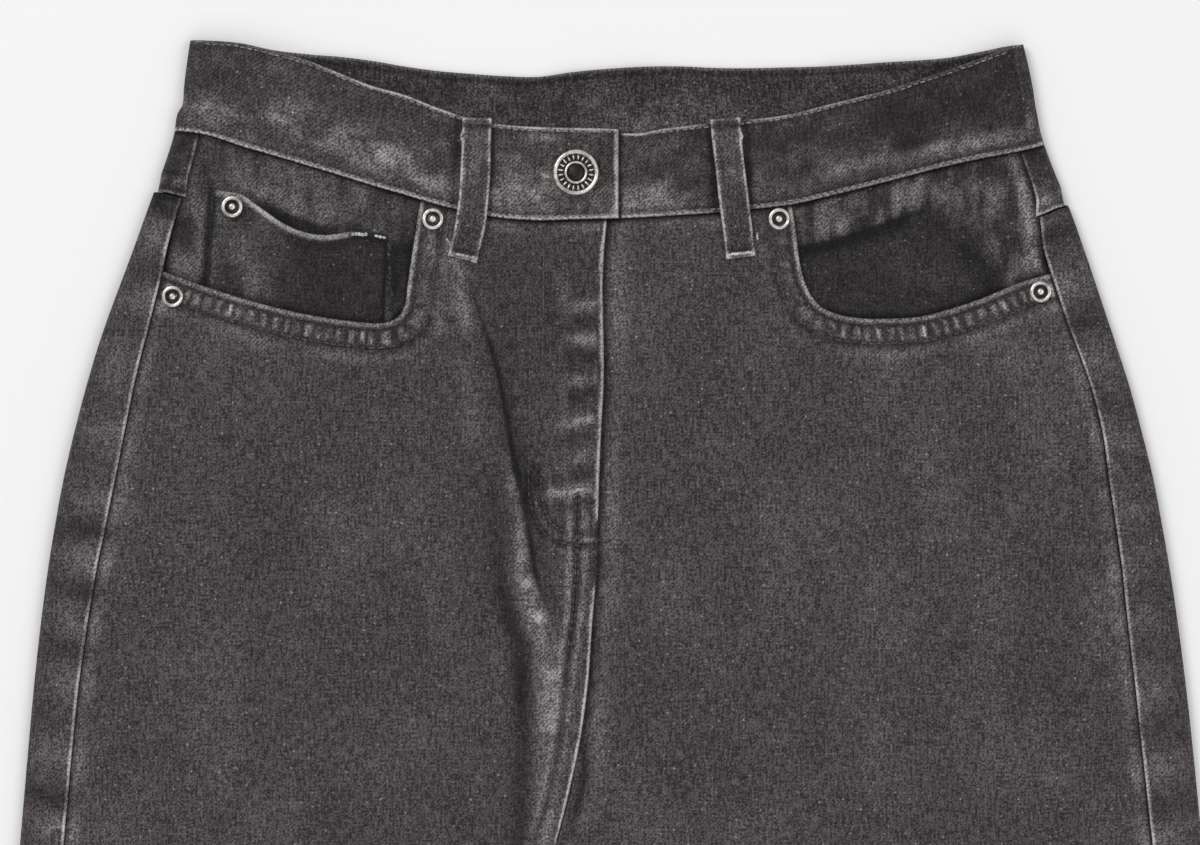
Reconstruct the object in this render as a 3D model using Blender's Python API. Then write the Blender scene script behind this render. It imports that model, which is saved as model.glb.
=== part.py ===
"""Wide-leg jeans laid flat, front side up. Tables are in millimetres: x to the wearer's left, drop is the
distance down from the waist corners, z up from the surface. The finished meshes are in metres."""

import math

import bmesh
import bpy

MM = 0.001
MID_X = -4.5            # middle of the hem's two outer edges
MID_DROP = 526.5        # middle of the length
HEM = 1054.0            # drop of the hem edge
CROTCH = 356.0          # drop where the legs part
WALL = 1.2              # cloth of the legs
BAND_WALL = 2.1         # folded waistband
GAP = 0.3               # between pieces at a seam
FOLD = 5.0              # half width of the rounded side folds
HEM_TURN = 13.0         # width of the turned-up hem
HEM_EXTRA = 0.9         # its extra thickness
LOOP_RAISE = 1.2        # lift of the layers over the underside loops
POCKET_RAISE = 1.5      # lift of the back panels over the back pockets

# Outline, side seams and centre of the front, down the garment
SECTIONS = [
    # drop, right fold, left fold, right seam, left seam, front centre
    (-2, -181.4, 180.7, -171.0, 170.5, 0.0),
    (10, -183.2, 183.6, -172.0, 172.5, 0.0),
    (20, -184.4, 185.6, -173.0, 173.5, 0.0),
    (27, -184.9, 186.6, -174.0, 174.5, 0.0),
    (31, -187.2, 187.4, -174.8, 175.5, 0.0),
    (40, -188.7, 189.2, -177.3, 177.0, 0.0),
    (52, -192.4, 193.3, -180.4, 181.4, 0.0),
    (64, -197.0, 198.2, -183.8, 185.6, 0.0),
    (76, -201.4, 203.0, -187.6, 188.2, 0.0),
    (90, -206.4, 207.9, -191.4, 190.0, -1.2),
    (105, -212.0, 213.0, -194.6, 194.6, -1.9),
    (120, -217.6, 218.0, -198.4, 199.6, -1.7),
    (135, -222.6, 223.0, -202.3, 205.2, -1.4),
    (150, -227.0, 227.8, -205.9, 210.6, -1.5),
    (170, -232.2, 233.2, -209.9, 215.6, -2.6),
    (190, -236.8, 238.1, -213.9, 218.4, -3.4),
    (210, -240.5, 241.9, -218.0, 221.4, -4.0),
    (230, -243.7, 245.4, -222.1, 224.2, -4.6),
    (255, -247.0, 249.1, -226.3, 226.8, -6.6),
    (280, -249.7, 252.3, -229.8, 229.8, -8.4),
    (305, -252.0, 255.1, -232.4, 232.5, -12.0),
    (330, -254.2, 257.6, -234.7, 235.3, -17.4),
    (356, -256.4, 260.1, -237.0, 238.2, -23.8),
    (370, -257.4, 261.3, -238.1, 239.6, -25.4),
    (420, -261.4, 265.0, -242.2, 243.6, -27.0),
    (520, -268.0, 270.4, -249.0, 249.4, -28.0),
    (640, -275.6, 276.0, -256.8, 255.2, -28.6),
    (780, -284.2, 281.6, -265.6, 261.0, -29.2),
    (920, -292.8, 287.0, -274.4, 266.6, -29.8),
    (1060, -301.2, 292.0, -283.0, 271.8, -30.2),
]
FOLD_COLUMN = {"right": 1, "left": 2}
SEAM_COLUMN = {"right": 3, "left": 4}
CENTRE_COLUMN = 5

# Inner edge of the wearer's left leg below the crotch
LEFT_INNER = [
    # drop, x
    (300, -10.9), (330, -17.1), (356, -23.3), (364, -22.6), (380, -19.6), (420, -12.6), (520, -2.0),
    (640, 6.4), (780, 13.0), (920, 17.8), (1060, 21.2),
]

# Waistband edges across the garment
BAND_EDGES = [
    # x, front top, front bottom, back top, back bottom
    (-192, -0.9, 37.9, -1.0, 38.6),
    (-174, -0.8, 40.4, -0.9, 40.0),
    (-158, 0.6, 45.6, 0.4, 41.4),
    (-144, 4.2, 49.6, 3.2, 43.0),
    (-130, 8.0, 53.8, 4.9, 44.8),
    (-116, 13.6, 58.0, 6.0, 46.4),
    (-102, 19.0, 62.4, 7.8, 48.2),
    (-88, 22.9, 66.4, 10.1, 50.2),
    (-74, 28.4, 70.6, 12.0, 51.6),
    (-60, 33.0, 74.0, 13.2, 52.6),
    (-46, 35.7, 76.4, 14.2, 53.4),
    (-30, 37.0, 77.6, 14.6, 53.6),
    (-15, 37.4, 77.2, 12.6, 52.8),
    (0, 37.7, 76.8, 11.2, 51.8),
    (15, 38.2, 76.2, 10.3, 51.0),
    (32, 36.7, 75.2, 10.0, 50.6),
    (48, 34.8, 74.2, 10.7, 50.6),
    (64, 33.4, 72.6, 10.8, 50.4),
    (80, 31.2, 70.7, 10.4, 50.2),
    (94, 27.6, 67.6, 10.1, 50.0),
    (108, 24.2, 64.2, 9.3, 49.6),
    (122, 20.7, 60.6, 8.3, 49.0),
    (136, 16.1, 56.9, 7.5, 48.2),
    (150, 11.4, 53.4, 6.1, 47.2),
    (164, 6.4, 50.4, 3.4, 46.0),
    (176, 1.9, 48.2, 1.0, 45.0),
    (192, -0.3, 44.6, -0.5, 43.6),
]
FRONT_TOP, FRONT_BOTTOM, BACK_TOP, BACK_BOTTOM = 1, 2, 3, 4

# Edge of each front pocket: down beside the waist, then out to the side seam
POCKET_DOWN = {
    # x, drop
    "right": [(-80.6, 68.0), (-82.6, 80.0), (-84.4, 90.0), (-86.0, 100.0), (-86.2, 110.0), (-87.6, 117.6)],
    "left": [(80.4, 68.0), (82.0, 80.0), (83.4, 92.0), (84.8, 102.0), (86.8, 109.0), (90.0, 113.6)],
}
POCKET_OUT = {
    "right": [
        (-87.6, 117.6), (-91.0, 120.6), (-95.5, 122.4), (-105.0, 122.0), (-123.0, 119.8), (-141.0, 116.2),
        (-158.7, 111.4), (-174.0, 106.6), (-189.6, 100.9), (-196.0, 98.6),
    ],
    "left": [
        (90.0, 113.6), (93.0, 115.8), (97.0, 117.4), (107.4, 120.0), (123.5, 120.2), (135.7, 119.6),
        (147.4, 116.6), (163.5, 111.3), (179.6, 104.4), (190.4, 101.4), (196.0, 99.6),
    ],
}

# Two lines down each front that the mesh columns follow: beside the pocket, and the deep fold of the thigh
GUIDES = {
    "right": [
        # drop, beside the pocket, fold line
        (60, -80.0, -67.0), (90, -84.4, -66.0), (100, -86.0, -62.0), (117.6, -87.6, -55.9), (140, -85.0, -48.7),
        (158, -81.0, -44.8), (179, -76.0, -41.3), (202, -71.0, -36.1), (218, -68.0, -33.5), (233, -66.0, -30.9),
        (247, -64.0, -26.6), (262, -63.0, -24.4), (285, -64.0, -30.5), (322, -68.0, -36.6), (350, -72.0, -39.0),
        (420, -80.0, -48.0), (600, -112.0, -78.0), (800, -130.0, -92.0), (1060, -140.0, -100.0),
    ],
    "left": [
        (60, 79.0, 42.0), (92, 83.4, 44.0), (102, 84.8, 45.0), (113.6, 90.0, 46.0), (140, 93.0, 48.0),
        (200, 96.0, 50.0), (260, 96.0, 49.0), (330, 92.0, 44.0), (420, 95.0, 52.0), (600, 112.0, 70.0),
        (800, 130.0, 84.0), (1060, 140.0, 92.0),
    ],
}

# The sharp fold and the broad one on the wearer's right thigh
SHARP_FOLD = [
    # drop, x, height of its raised side
    (84, -67.5, 0.0), (95, -64.0, 0.6), (117, -56.1, 1.9), (140, -48.7, 2.8), (158, -44.8, 3.2), (179, -41.3, 3.5),
    (202, -36.1, 3.5), (218, -33.5, 3.2), (233, -30.9, 2.4), (247, -25.6, 1.2), (262, -19.0, 0.0),
]
BROAD_FOLD = [
    # drop, x, depth
    (212, -53.0, 0.0), (228, -50.2, 0.5), (247, -45.4, 1.0), (271, -39.6, 1.4), (292, -37.4, 1.6), (322, -37.6, 1.6),
    (350, -39.0, 1.5), (400, -46.0, 1.0), (460, -54.0, 0.0),
]

COIN_TOP = [
    # x, drop
    (-171.3, 64.0), (-165.0, 65.0), (-158.7, 66.4), (-150.0, 72.4), (-141.0, 78.6), (-132.2, 82.4), (-123.0, 83.8),
    (-114.3, 82.8), (-108.0, 82.0), (-100.9, 82.6), (-95.4, 83.2),
]
YOKE_SEAM = {
    # share of the way from the middle of the back to the side fold, drop
    "right": [(0.0, 114.0), (0.2, 106.0), (0.45, 94.0), (0.7, 81.0), (0.9, 69.5), (1.0, 64.8), (1.2, 67.4)],
    "left": [(0.0, 114.0), (0.2, 106.0), (0.45, 95.0), (0.7, 83.0), (0.9, 73.5), (1.0, 70.0), (1.2, 76.0)],
}
BACK_LOOPS = [("loop_back_right", -118.0), ("loop_back_centre", 0.0), ("loop_back_left", 118.0)]
LOOP_HALF = 6.5
LOOP_PAST_BAND = 20.0
BACK_POCKET = {"half top": 69.0, "half bottom": 61.0, "top": 152.0, "side": 286.0, "point": 300.0, "wall": 1.2}
BACK_POCKET_X = {"right": -111.0, "left": 109.0}
SIGN = {"right": -1.0, "left": 1.0}


def ease(value):
    value = min(1.0, max(0.0, value))
    return value * value * (3.0 - 2.0 * value)


def bell(value, width):
    return math.exp(-((value / width) ** 2))


def along(table, column, at):
    """Smooth curve through one column of a table whose first column rises."""
    last = len(table) - 1
    if at <= table[0][0]:
        return table[0][column]
    if at >= table[last][0]:
        return table[last][column]
    k = 0
    while table[k + 1][0] < at:
        k += 1

    def slope(i):
        a = max(0, i - 1)
        b = min(last, i + 1)
        return (table[b][column] - table[a][column]) / (table[b][0] - table[a][0])

    span = table[k + 1][0] - table[k][0]
    t = (at - table[k][0]) / span
    first, second = table[k][column], table[k + 1][column]
    return (
        first * (1 + 2 * t) * (1 - t) ** 2
        + slope(k) * span * t * (1 - t) ** 2
        + second * t * t * (3 - 2 * t)
        - slope(k + 1) * span * t * t * (1 - t)
    )


def by_x(points, x):
    """The same for a curve given as (x, drop) points in either order."""
    rising = sorted(points)
    return along(rising, 1, x)


def fold_x(side, drop):
    return along(SECTIONS, FOLD_COLUMN[side], drop)


def seam_x(side, drop):
    return along(SECTIONS, SEAM_COLUMN[side], drop)


def turned_edge(x, turn, back, front):
    """A waistband edge on its way round the side fold: turn runs from 0 at the back to 1 at the front."""
    return along(BAND_EDGES, back, x) * (1.0 - turn) + along(BAND_EDGES, front, x) * turn


def legs(drop):
    """0 above the crotch, where the edges lie flat, 1 where they roll round the inside of a leg."""
    return ease((drop - 346.0) / 26.0)


def fold_height(drop):
    return 6.4 - 0.9 * ease((drop - 160.0) / 240.0) + 0.6 * ease((drop - 960.0) / 80.0)


def inner_x(side, drop, front):
    """The front or back middle above the crotch, the inner edge of the leg below it."""
    if side == "right":
        return along(SECTIONS, CENTRE_COLUMN, drop) - (0.0 if front else 0.15 * (1.0 - legs(drop)))
    if drop >= CROTCH:
        return along(LEFT_INNER, 1, drop)
    middle = along(SECTIONS, CENTRE_COLUMN, drop)
    near = ease((drop - 296.0) / 28.0)
    if front:
        return middle - 4.0 + (4.0 + 0.5) * near
    return middle + 0.15 + 0.35 * near


def hem_extra(drop):
    return HEM_EXTRA * ease((drop - (HEM - HEM_TURN - 2.5)) / 2.5)


def floor_lift(x, drop):
    """How far the lowest layer is raised over the loops and pockets under it."""
    lift = 0.0
    for _, middle in BACK_LOOPS:
        end = along(BAND_EDGES, BACK_BOTTOM, middle) + LOOP_PAST_BAND
        across = 1.0 - ease((abs(x - middle) - LOOP_HALF - 11.0) / 14.0)
        down = 1.0 - ease((drop - end - 4.0) / 14.0)
        lift = max(lift, LOOP_RAISE * across * down)
    for middle in BACK_POCKET_X.values():
        across = 1.0 - ease((abs(x - middle) - BACK_POCKET["half top"] - 9.0) / 13.0)
        above = ease((drop - BACK_POCKET["top"] + 18.0) / 13.0)
        below = 1.0 - ease((drop - BACK_POCKET["point"] - 5.0) / 14.0)
        lift = max(lift, POCKET_RAISE * across * above * below)
    return lift


def thigh_folds(x, drop):
    """Height added to the wearer's right front by the sharp fold and the broad one."""
    tall = along(SHARP_FOLD, 2, drop) if 84.0 < drop < 262.0 else 0.0
    past = x - along(SHARP_FOLD, 1, drop)
    added = 0.0
    if past <= 0.0:
        added += tall * bell(past + 8.5, 8.0) - 0.35 * tall * bell(past, 2.6)
    else:
        added += tall * (bell(8.5, 8.0) - 0.35) * bell(past, 2.2)
        added += 0.16 * tall * bell(past - 12.0, 6.0)
    deep = along(BROAD_FOLD, 2, drop) if 212.0 < drop < 460.0 else 0.0
    away = x - along(BROAD_FOLD, 1, drop)
    added -= deep * bell(away, 6.5)
    added += 0.8 * deep * bell(away + 17.0, 10.0)
    return added


def leg_drape(side, x, drop):
    """Long, shallow drape of the legs below the photo."""
    share = ease((drop - 400.0) / 160.0) * (1.0 - 0.5 * ease((drop - 940.0) / 100.0))
    first = along(GUIDES[side], 2, drop)
    bend = 14.0 * math.sin(drop / 150.0)
    outer = first + SIGN[side] * (62.0 + 16.0 * math.sin(drop / 190.0 + 1.0))
    return share * (1.5 * bell(x - first - bend, 20.0) + 1.1 * bell(x - outer, 26.0))


def front_height(side, x, drop):
    """Top face of a front panel."""
    high = 6.8 - 1.9 * ease((drop - 250.0) / 180.0)
    rim = fold_height(drop)
    from_seam = abs(x - seam_x(side, drop))
    from_middle = abs(x - inner_x(side, drop, True))
    height = high + (rim - high) * bell(from_seam, 26.0)
    height += (rim - 0.4 - high) * legs(drop) * bell(from_middle, 22.0)
    fly = 1.0 - ease((drop - 325.0) / 20.0)
    if side == "right":
        height += 1.2 * fly * (1.0 - ease((from_middle - 26.0) / 16.0))
        height += thigh_folds(x, drop)
    else:
        height -= 0.8 * fly * (1.0 - ease((from_middle - 5.0) / 14.0))
        height += 0.7 * bell(x - along(GUIDES[side], 2, drop), 16.0) * ease((drop - 130.0) / 60.0)
    return height + leg_drape(side, x, drop) + hem_extra(drop) * 0.8


def facing_height(side, x, drop):
    """Top face of the pocket facing: it climbs to the side seam beside the opening."""
    climb = 1.8 * bell(x - seam_x(side, drop), 9.0) * (1.0 - ease((drop - 84.0) / 14.0))
    band = along(BAND_EDGES, FRONT_BOTTOM, x)
    near_band = 0.9 * (1.0 - ease((drop - band - 1.0) / 9.0)) * ease((abs(x) - 90.0) / 10.0)
    return 3.8 + max(climb, near_band)


def place(x, drop, z):
    return ((x - MID_X) * MM, (MID_DROP - drop) * MM, z * MM)


def wall_inside(path, wall, turn, curl=0.0, at_start=True):
    """Moves a cross-section inward by the wall. turn is +1 or -1, for the side the cloth's inside is on.
    curl says how far one end has rolled upright."""
    first = (path[0][0] - (path[1][0] - path[0][0]), path[0][1] - (path[1][1] - path[0][1]))
    last = (path[-1][0] - (path[-2][0] - path[-1][0]), path[-1][1] - (path[-2][1] - path[-1][1]))
    if at_start:
        first = (path[0][0] + (path[1][0] - path[0][0]) * (2.0 * curl - 1.0), first[1])
    else:
        last = (path[-1][0] + (path[-2][0] - path[-1][0]) * (2.0 * curl - 1.0), last[1])
    whole = [first, *path, last]
    moved = []
    for k, (x, z) in enumerate(path):
        before, after = whole[k], whole[k + 2]
        dx, dz = after[0] - before[0], after[1] - before[1]
        size = math.hypot(dx, dz)
        moved.append((x - turn * wall * dz / size, z + turn * wall * dx / size))
    return moved


def finish_of(name, base, rough, metal=0.0):
    material = bpy.data.materials.new(name)
    material.use_nodes = True
    shader = material.node_tree.nodes["Principled BSDF"]
    shader.inputs["Base Color"].default_value = (*base, 1.0)
    shader.inputs["Roughness"].default_value = rough
    shader.inputs["Metallic"].default_value = metal
    return material


def cloth(name, outside, inside, finish, kept=None):
    """Closes two grids of points into one thin solid. kept(row, column) says which cells are cloth."""
    rows, columns = len(outside), len(outside[0])
    body = bmesh.new()
    made = {}

    def corner(layer, row, column):
        key = (layer, row, column)
        if key not in made:
            grid = outside if layer == 0 else inside
            made[key] = body.verts.new(place(*grid[row][column]))
        return made[key]

    def is_cloth(row, column):
        if not (0 <= row < rows - 1 and 0 <= column < columns - 1):
            return False
        return kept is None or kept(row, column)

    for row in range(rows - 1):
        for column in range(columns - 1):
            if not is_cloth(row, column):
                continue
            ring = [(row, column), (row, column + 1), (row + 1, column + 1), (row + 1, column)]
            body.faces.new([corner(0, *point) for point in ring])
            body.faces.new([corner(1, *point) for point in reversed(ring)])
            beyond = [(row - 1, column), (row, column + 1), (row + 1, column), (row, column - 1)]
            for k, cell in enumerate(beyond):
                if not is_cloth(*cell):
                    a, b = ring[k], ring[(k + 1) % 4]
                    body.faces.new([corner(0, *b), corner(0, *a), corner(1, *a), corner(1, *b)])
    bmesh.ops.recalc_face_normals(body, faces=body.faces)
    mesh = bpy.data.meshes.new(name)
    body.to_mesh(mesh)
    body.free()
    mesh.materials.append(finish)
    made_object = bpy.data.objects.new(name, mesh)
    bpy.context.scene.collection.objects.link(made_object)
    return made_object


def turned(name, x, drop, base, profile, steps, finish):
    """A round piece from (radius, height) pairs, standing at one place."""
    body = bmesh.new()
    rings = []
    for radius, height in profile:
        if radius == 0.0:
            rings.append([body.verts.new(place(x, drop, base + height))])
            continue
        ring = []
        for k in range(steps):
            angle = 2.0 * math.pi * k / steps
            spot = place(x + radius * math.cos(angle), drop + radius * math.sin(angle), base + height)
            ring.append(body.verts.new(spot))
        rings.append(ring)
    for low, high in zip(rings, rings[1:]):
        for k in range(steps):
            a, b = low[k % len(low)], low[(k + 1) % len(low)]
            c, d = high[(k + 1) % len(high)], high[k % len(high)]
            face = list(dict.fromkeys([a, b, c, d]))
            body.faces.new(face)
    bmesh.ops.recalc_face_normals(body, faces=body.faces)
    mesh = bpy.data.meshes.new(name)
    body.to_mesh(mesh)
    body.free()
    for face in mesh.polygons:
        face.use_smooth = True
    mesh.materials.append(finish)
    made_object = bpy.data.objects.new(name, mesh)
    bpy.context.scene.collection.objects.link(made_object)
    return made_object


# Columns of a back panel and yoke: distances from the inner edge, then shares of the floor part,
# angles round the fold and shares of the top part
ROLL = 6.0
ROLL_STEPS = [0.0, 0.8, 3.0, 6.0]
FLOOR_SHARES = [0.08, 0.15, 0.26, 0.37, 0.48, 0.59, 0.7, 0.8, 0.9, 1.0]
FOLD_ANGLES = [30, 60, 90, 120, 150, 180]
TOP_SHARES = [0.5, 1.0]


def back_line(column):
    """Where a column runs, as a share of the way from the middle to the fold and past it (up to 1.2)."""
    if column < len(ROLL_STEPS):
        return ROLL_STEPS[column] / 200.0
    column -= len(ROLL_STEPS)
    if column < len(FLOOR_SHARES):
        return FLOOR_SHARES[column]
    column -= len(FLOOR_SHARES)
    if column < len(FOLD_ANGLES):
        return 1.0 + 0.1 * (column + 1) / len(FOLD_ANGLES)
    column -= len(FOLD_ANGLES)
    return 1.1 + 0.1 * TOP_SHARES[column]


def back_point(side, column, drop):
    """Outer face of the back at one column: along the floor, round the fold, over the top to the seam."""
    sign = SIGN[side]
    inner = inner_x(side, drop, False)
    turn = fold_x(side, drop) - sign * FOLD
    height = fold_height(drop)
    if column < len(ROLL_STEPS) + len(FLOOR_SHARES):
        x = inner + sign * ROLL_STEPS[min(column, len(ROLL_STEPS) - 1)]
        if column >= len(ROLL_STEPS):
            x += (turn - x) * (FLOOR_SHARES[column - len(ROLL_STEPS)] - 0.03) / 0.97
        reach = min(1.0, abs(x - inner) / ROLL)
        rise = (height * 0.5 - 0.4) * (1.0 - math.sqrt(max(0.0, 1.0 - (1.0 - reach) ** 2)))
        return x, floor_lift(x, drop) + legs(drop) * rise
    column -= len(ROLL_STEPS) + len(FLOOR_SHARES)
    if column < len(FOLD_ANGLES):
        angle = math.radians(FOLD_ANGLES[column])
        return turn + sign * FOLD * math.sin(angle), height * 0.5 * (1.0 - math.cos(angle))
    column -= len(FOLD_ANGLES)
    seam = seam_x(side, drop)
    return turn + (seam - turn) * TOP_SHARES[column], height


BACK_COLUMNS = len(ROLL_STEPS) + len(FLOOR_SHARES) + len(FOLD_ANGLES) + len(TOP_SHARES)
ROWS = [
    134.0, 148.0, 162.0, 176.0, 190.0, 204.0, 218.0, 232.0, 244.0, 256.0, 268.0, 282.0, 298.0, 312.0, 325.0, 336.0,
    346.0, 351.0, 356.0, 361.0, 366.0, 372.0, 388.0, 420.0, 480.0, 560.0, 650.0, 750.0, 850.0, 950.0, 1038.5,
    1041.0, HEM,
]


def back_panel(side, finish):
    outside, inside = [], []
    for row in range(-3, len(ROWS)):
        drops = []
        for column in range(BACK_COLUMNS):
            seam = along(YOKE_SEAM[side], 1, back_line(column)) + GAP * 0.5
            if row < 0:
                drops.append(seam + (ROWS[0] - seam) * (row + 3) / 3.0)
            else:
                drops.append(ROWS[row])
        path = [back_point(side, column, drops[column]) for column in range(BACK_COLUMNS)]
        moved = wall_inside(path, WALL + hem_extra(drops[0]), SIGN[side], legs(drops[0]), True)
        outside.append([(x, drop, z) for (x, z), drop in zip(path, drops)])
        inside.append([(x, drop, z) for (x, z), drop in zip(moved, drops)])
    return cloth("back_" + side, outside, inside, finish)


def yoke(side, finish):
    outside, inside = [], []
    sign = SIGN[side]
    for row in range(6):
        drops = []
        for column in range(BACK_COLUMNS):
            line = back_line(column)
            seam = along(YOKE_SEAM[side], 1, line) - GAP * 0.5
            guess = 52.0
            for _ in range(6):
                x = back_point(side, column, guess)[0]
                if line <= 1.0:
                    guess = along(BAND_EDGES, BACK_BOTTOM, x)
                else:
                    guess = turned_edge(x, min(1.0, (line - 1.0) / 0.1), BACK_BOTTOM, FRONT_BOTTOM)
            top = guess + GAP
            drops.append(top + (seam - top) * row / 5.0)
        path = [back_point(side, column, drops[column]) for column in range(BACK_COLUMNS)]
        moved = wall_inside(path, WALL, sign)
        outside.append([(x, drop, z) for (x, z), drop in zip(path, drops)])
        inside.append([(x, drop, z) for (x, z), drop in zip(moved, drops)])
    return cloth("yoke_" + side, outside, inside, finish)


# Columns of a front panel as shares between its guide lines, from the side seam to the middle
FRONT_SHARES = {
    "right": {
        "outer": [0.0, 0.06, 0.16, 0.28, 0.41, 0.54, 0.67, 0.79, 0.9],
        "fold": [0.0, 0.3, 0.55, 0.76, 0.9],
        "middle": [0.0, 0.12, 0.32, 0.6],
    },
    "left": {
        "outer": [0.0, 0.06, 0.16, 0.28, 0.41, 0.54, 0.67, 0.79, 0.9],
        "fold": [0.0, 0.25, 0.5, 0.75],
        "middle": [0.0, 0.3, 0.62],
    },
}
FRONT_UPPER_ROWS = 6


def front_columns(side):
    shares = FRONT_SHARES[side]
    return [("outer", s) for s in shares["outer"]] + [("fold", s) for s in shares["fold"]] + [
        ("middle", s) for s in shares["middle"]
    ] + [("roll", s) for s in reversed(ROLL_STEPS)]


def front_x(side, column, drop):
    part, share = column
    seam = seam_x(side, drop) - SIGN[side] * GAP
    pocket = along(GUIDES[side], 1, drop)
    line = along(GUIDES[side], 2, drop)
    middle = inner_x(side, drop, True)
    if part == "roll":
        return middle + SIGN[side] * share
    middle += SIGN[side] * ROLL
    first, second = {"outer": (seam, pocket), "fold": (pocket, line), "middle": (line, middle)}[part]
    return first + (second - first) * share


def rolled(side, x, drop):
    """Height of the front's outer face, rolled down round the inside of the leg."""
    top = front_height(side, x, drop)
    reach = min(1.0, abs(x - inner_x(side, drop, True)) / ROLL)
    middle = fold_height(drop) * 0.5
    drop_to_seam = (top - middle - 0.4) * (1.0 - math.sqrt(max(0.0, 1.0 - (1.0 - reach) ** 2)))
    return top - legs(drop) * drop_to_seam


def front_panel(side, finish):
    columns = front_columns(side)
    corner = len(FRONT_SHARES[side]["outer"])
    corner_drop = POCKET_DOWN[side][-1][1]
    edge_at = {}
    for k, column in enumerate(columns):
        if k < corner:
            guess = 110.0
            for _ in range(12):
                guess = by_x(POCKET_OUT[side], front_x(side, column, guess))
            edge_at[k] = guess
        else:
            edge_at[k] = corner_drop
    outside, inside = [], []
    for row in range(-FRONT_UPPER_ROWS - 2, len(ROWS)):
        drops = []
        for k, column in enumerate(columns):
            if row >= 0:
                drops.append(ROWS[row])
            elif row >= -2:
                drops.append(edge_at[k] + (ROWS[0] - edge_at[k]) * (row + 2) / 2.0)
            else:
                guess = 70.0
                for _ in range(8):
                    guess = along(BAND_EDGES, FRONT_BOTTOM, front_x(side, column, guess)) + GAP
                share = (row + FRONT_UPPER_ROWS + 2) / FRONT_UPPER_ROWS
                drops.append(guess + (corner_drop - guess) * share)
        path = []
        for k, column in enumerate(columns):
            x = front_x(side, column, drops[k])
            path.append((x, rolled(side, x, drops[k])))
        moved = wall_inside(path, WALL + hem_extra(drops[-1]), SIGN[side], legs(drops[-1]), False)
        outside.append([(x, drop, z) for (x, z), drop in zip(path, drops)])
        inside.append([(x, drop, z) for (x, z), drop in zip(moved, drops)])

    def kept(row, column):
        return row >= FRONT_UPPER_ROWS or column >= corner

    return cloth("front_" + side, outside, inside, finish, kept)


def facing(side, finish):
    """The cloth behind a pocket opening, from the side seam to under the front panel."""
    sign = SIGN[side]
    across, down = 13, 9
    outside, inside = [], []
    for row in range(down + 1):
        line = []
        for column in range(across + 1):
            share = column / across
            drop = 60.0
            for _ in range(8):
                outer = seam_x(side, drop) - sign * (GAP + 2.2 * ease((drop - 88.0) / 12.0))
                inner = sign * 64.0
                x = outer + (inner - outer) * share
                top = along(BAND_EDGES, FRONT_BOTTOM, x) + GAP
                edge = by_x(POCKET_OUT[side], x) if abs(x) > 92.0 else 118.0
                drop = top + (edge + 17.0 - top) * row / down
            line.append((x, drop, facing_height(side, x, drop)))
        outside.append(line)
        inside.append([(x, drop, z - 1.0) for x, drop, z in line])
    return cloth("pocket_facing_" + side, outside, inside, finish)


def coin_pocket(finish):
    across, down = 10, 6
    outside, inside = [], []
    for row in range(down + 1):
        line = []
        for column in range(across + 1):
            share = column / across
            top_x = -171.3 + (-95.4 + 171.3) * share
            top = by_x(COIN_TOP, top_x)
            low_x = -175.2 + (-97.6 + 175.2) * share
            low = by_x(POCKET_OUT["right"], low_x) + 12.0
            part = row / down
            x, drop = top_x + (low_x - top_x) * part, top + (low - top) * part
            line.append((x, drop, facing_height("right", x, drop) + GAP + 0.9))
        outside.append(line)
        inside.append([(x, drop, z - 0.9) for x, drop, z in line])
    return cloth("coin_pocket", outside, inside, finish)


def band_height(x, lapped):
    """Outer face of the front of the waistband; lapped is its end on top, at the button."""
    if lapped:
        return 6.8 + 2.0 * ease((x + 46.0) / 22.0)
    return 6.8 - 0.7 * ease((34.0 - x) / 20.0)


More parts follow.
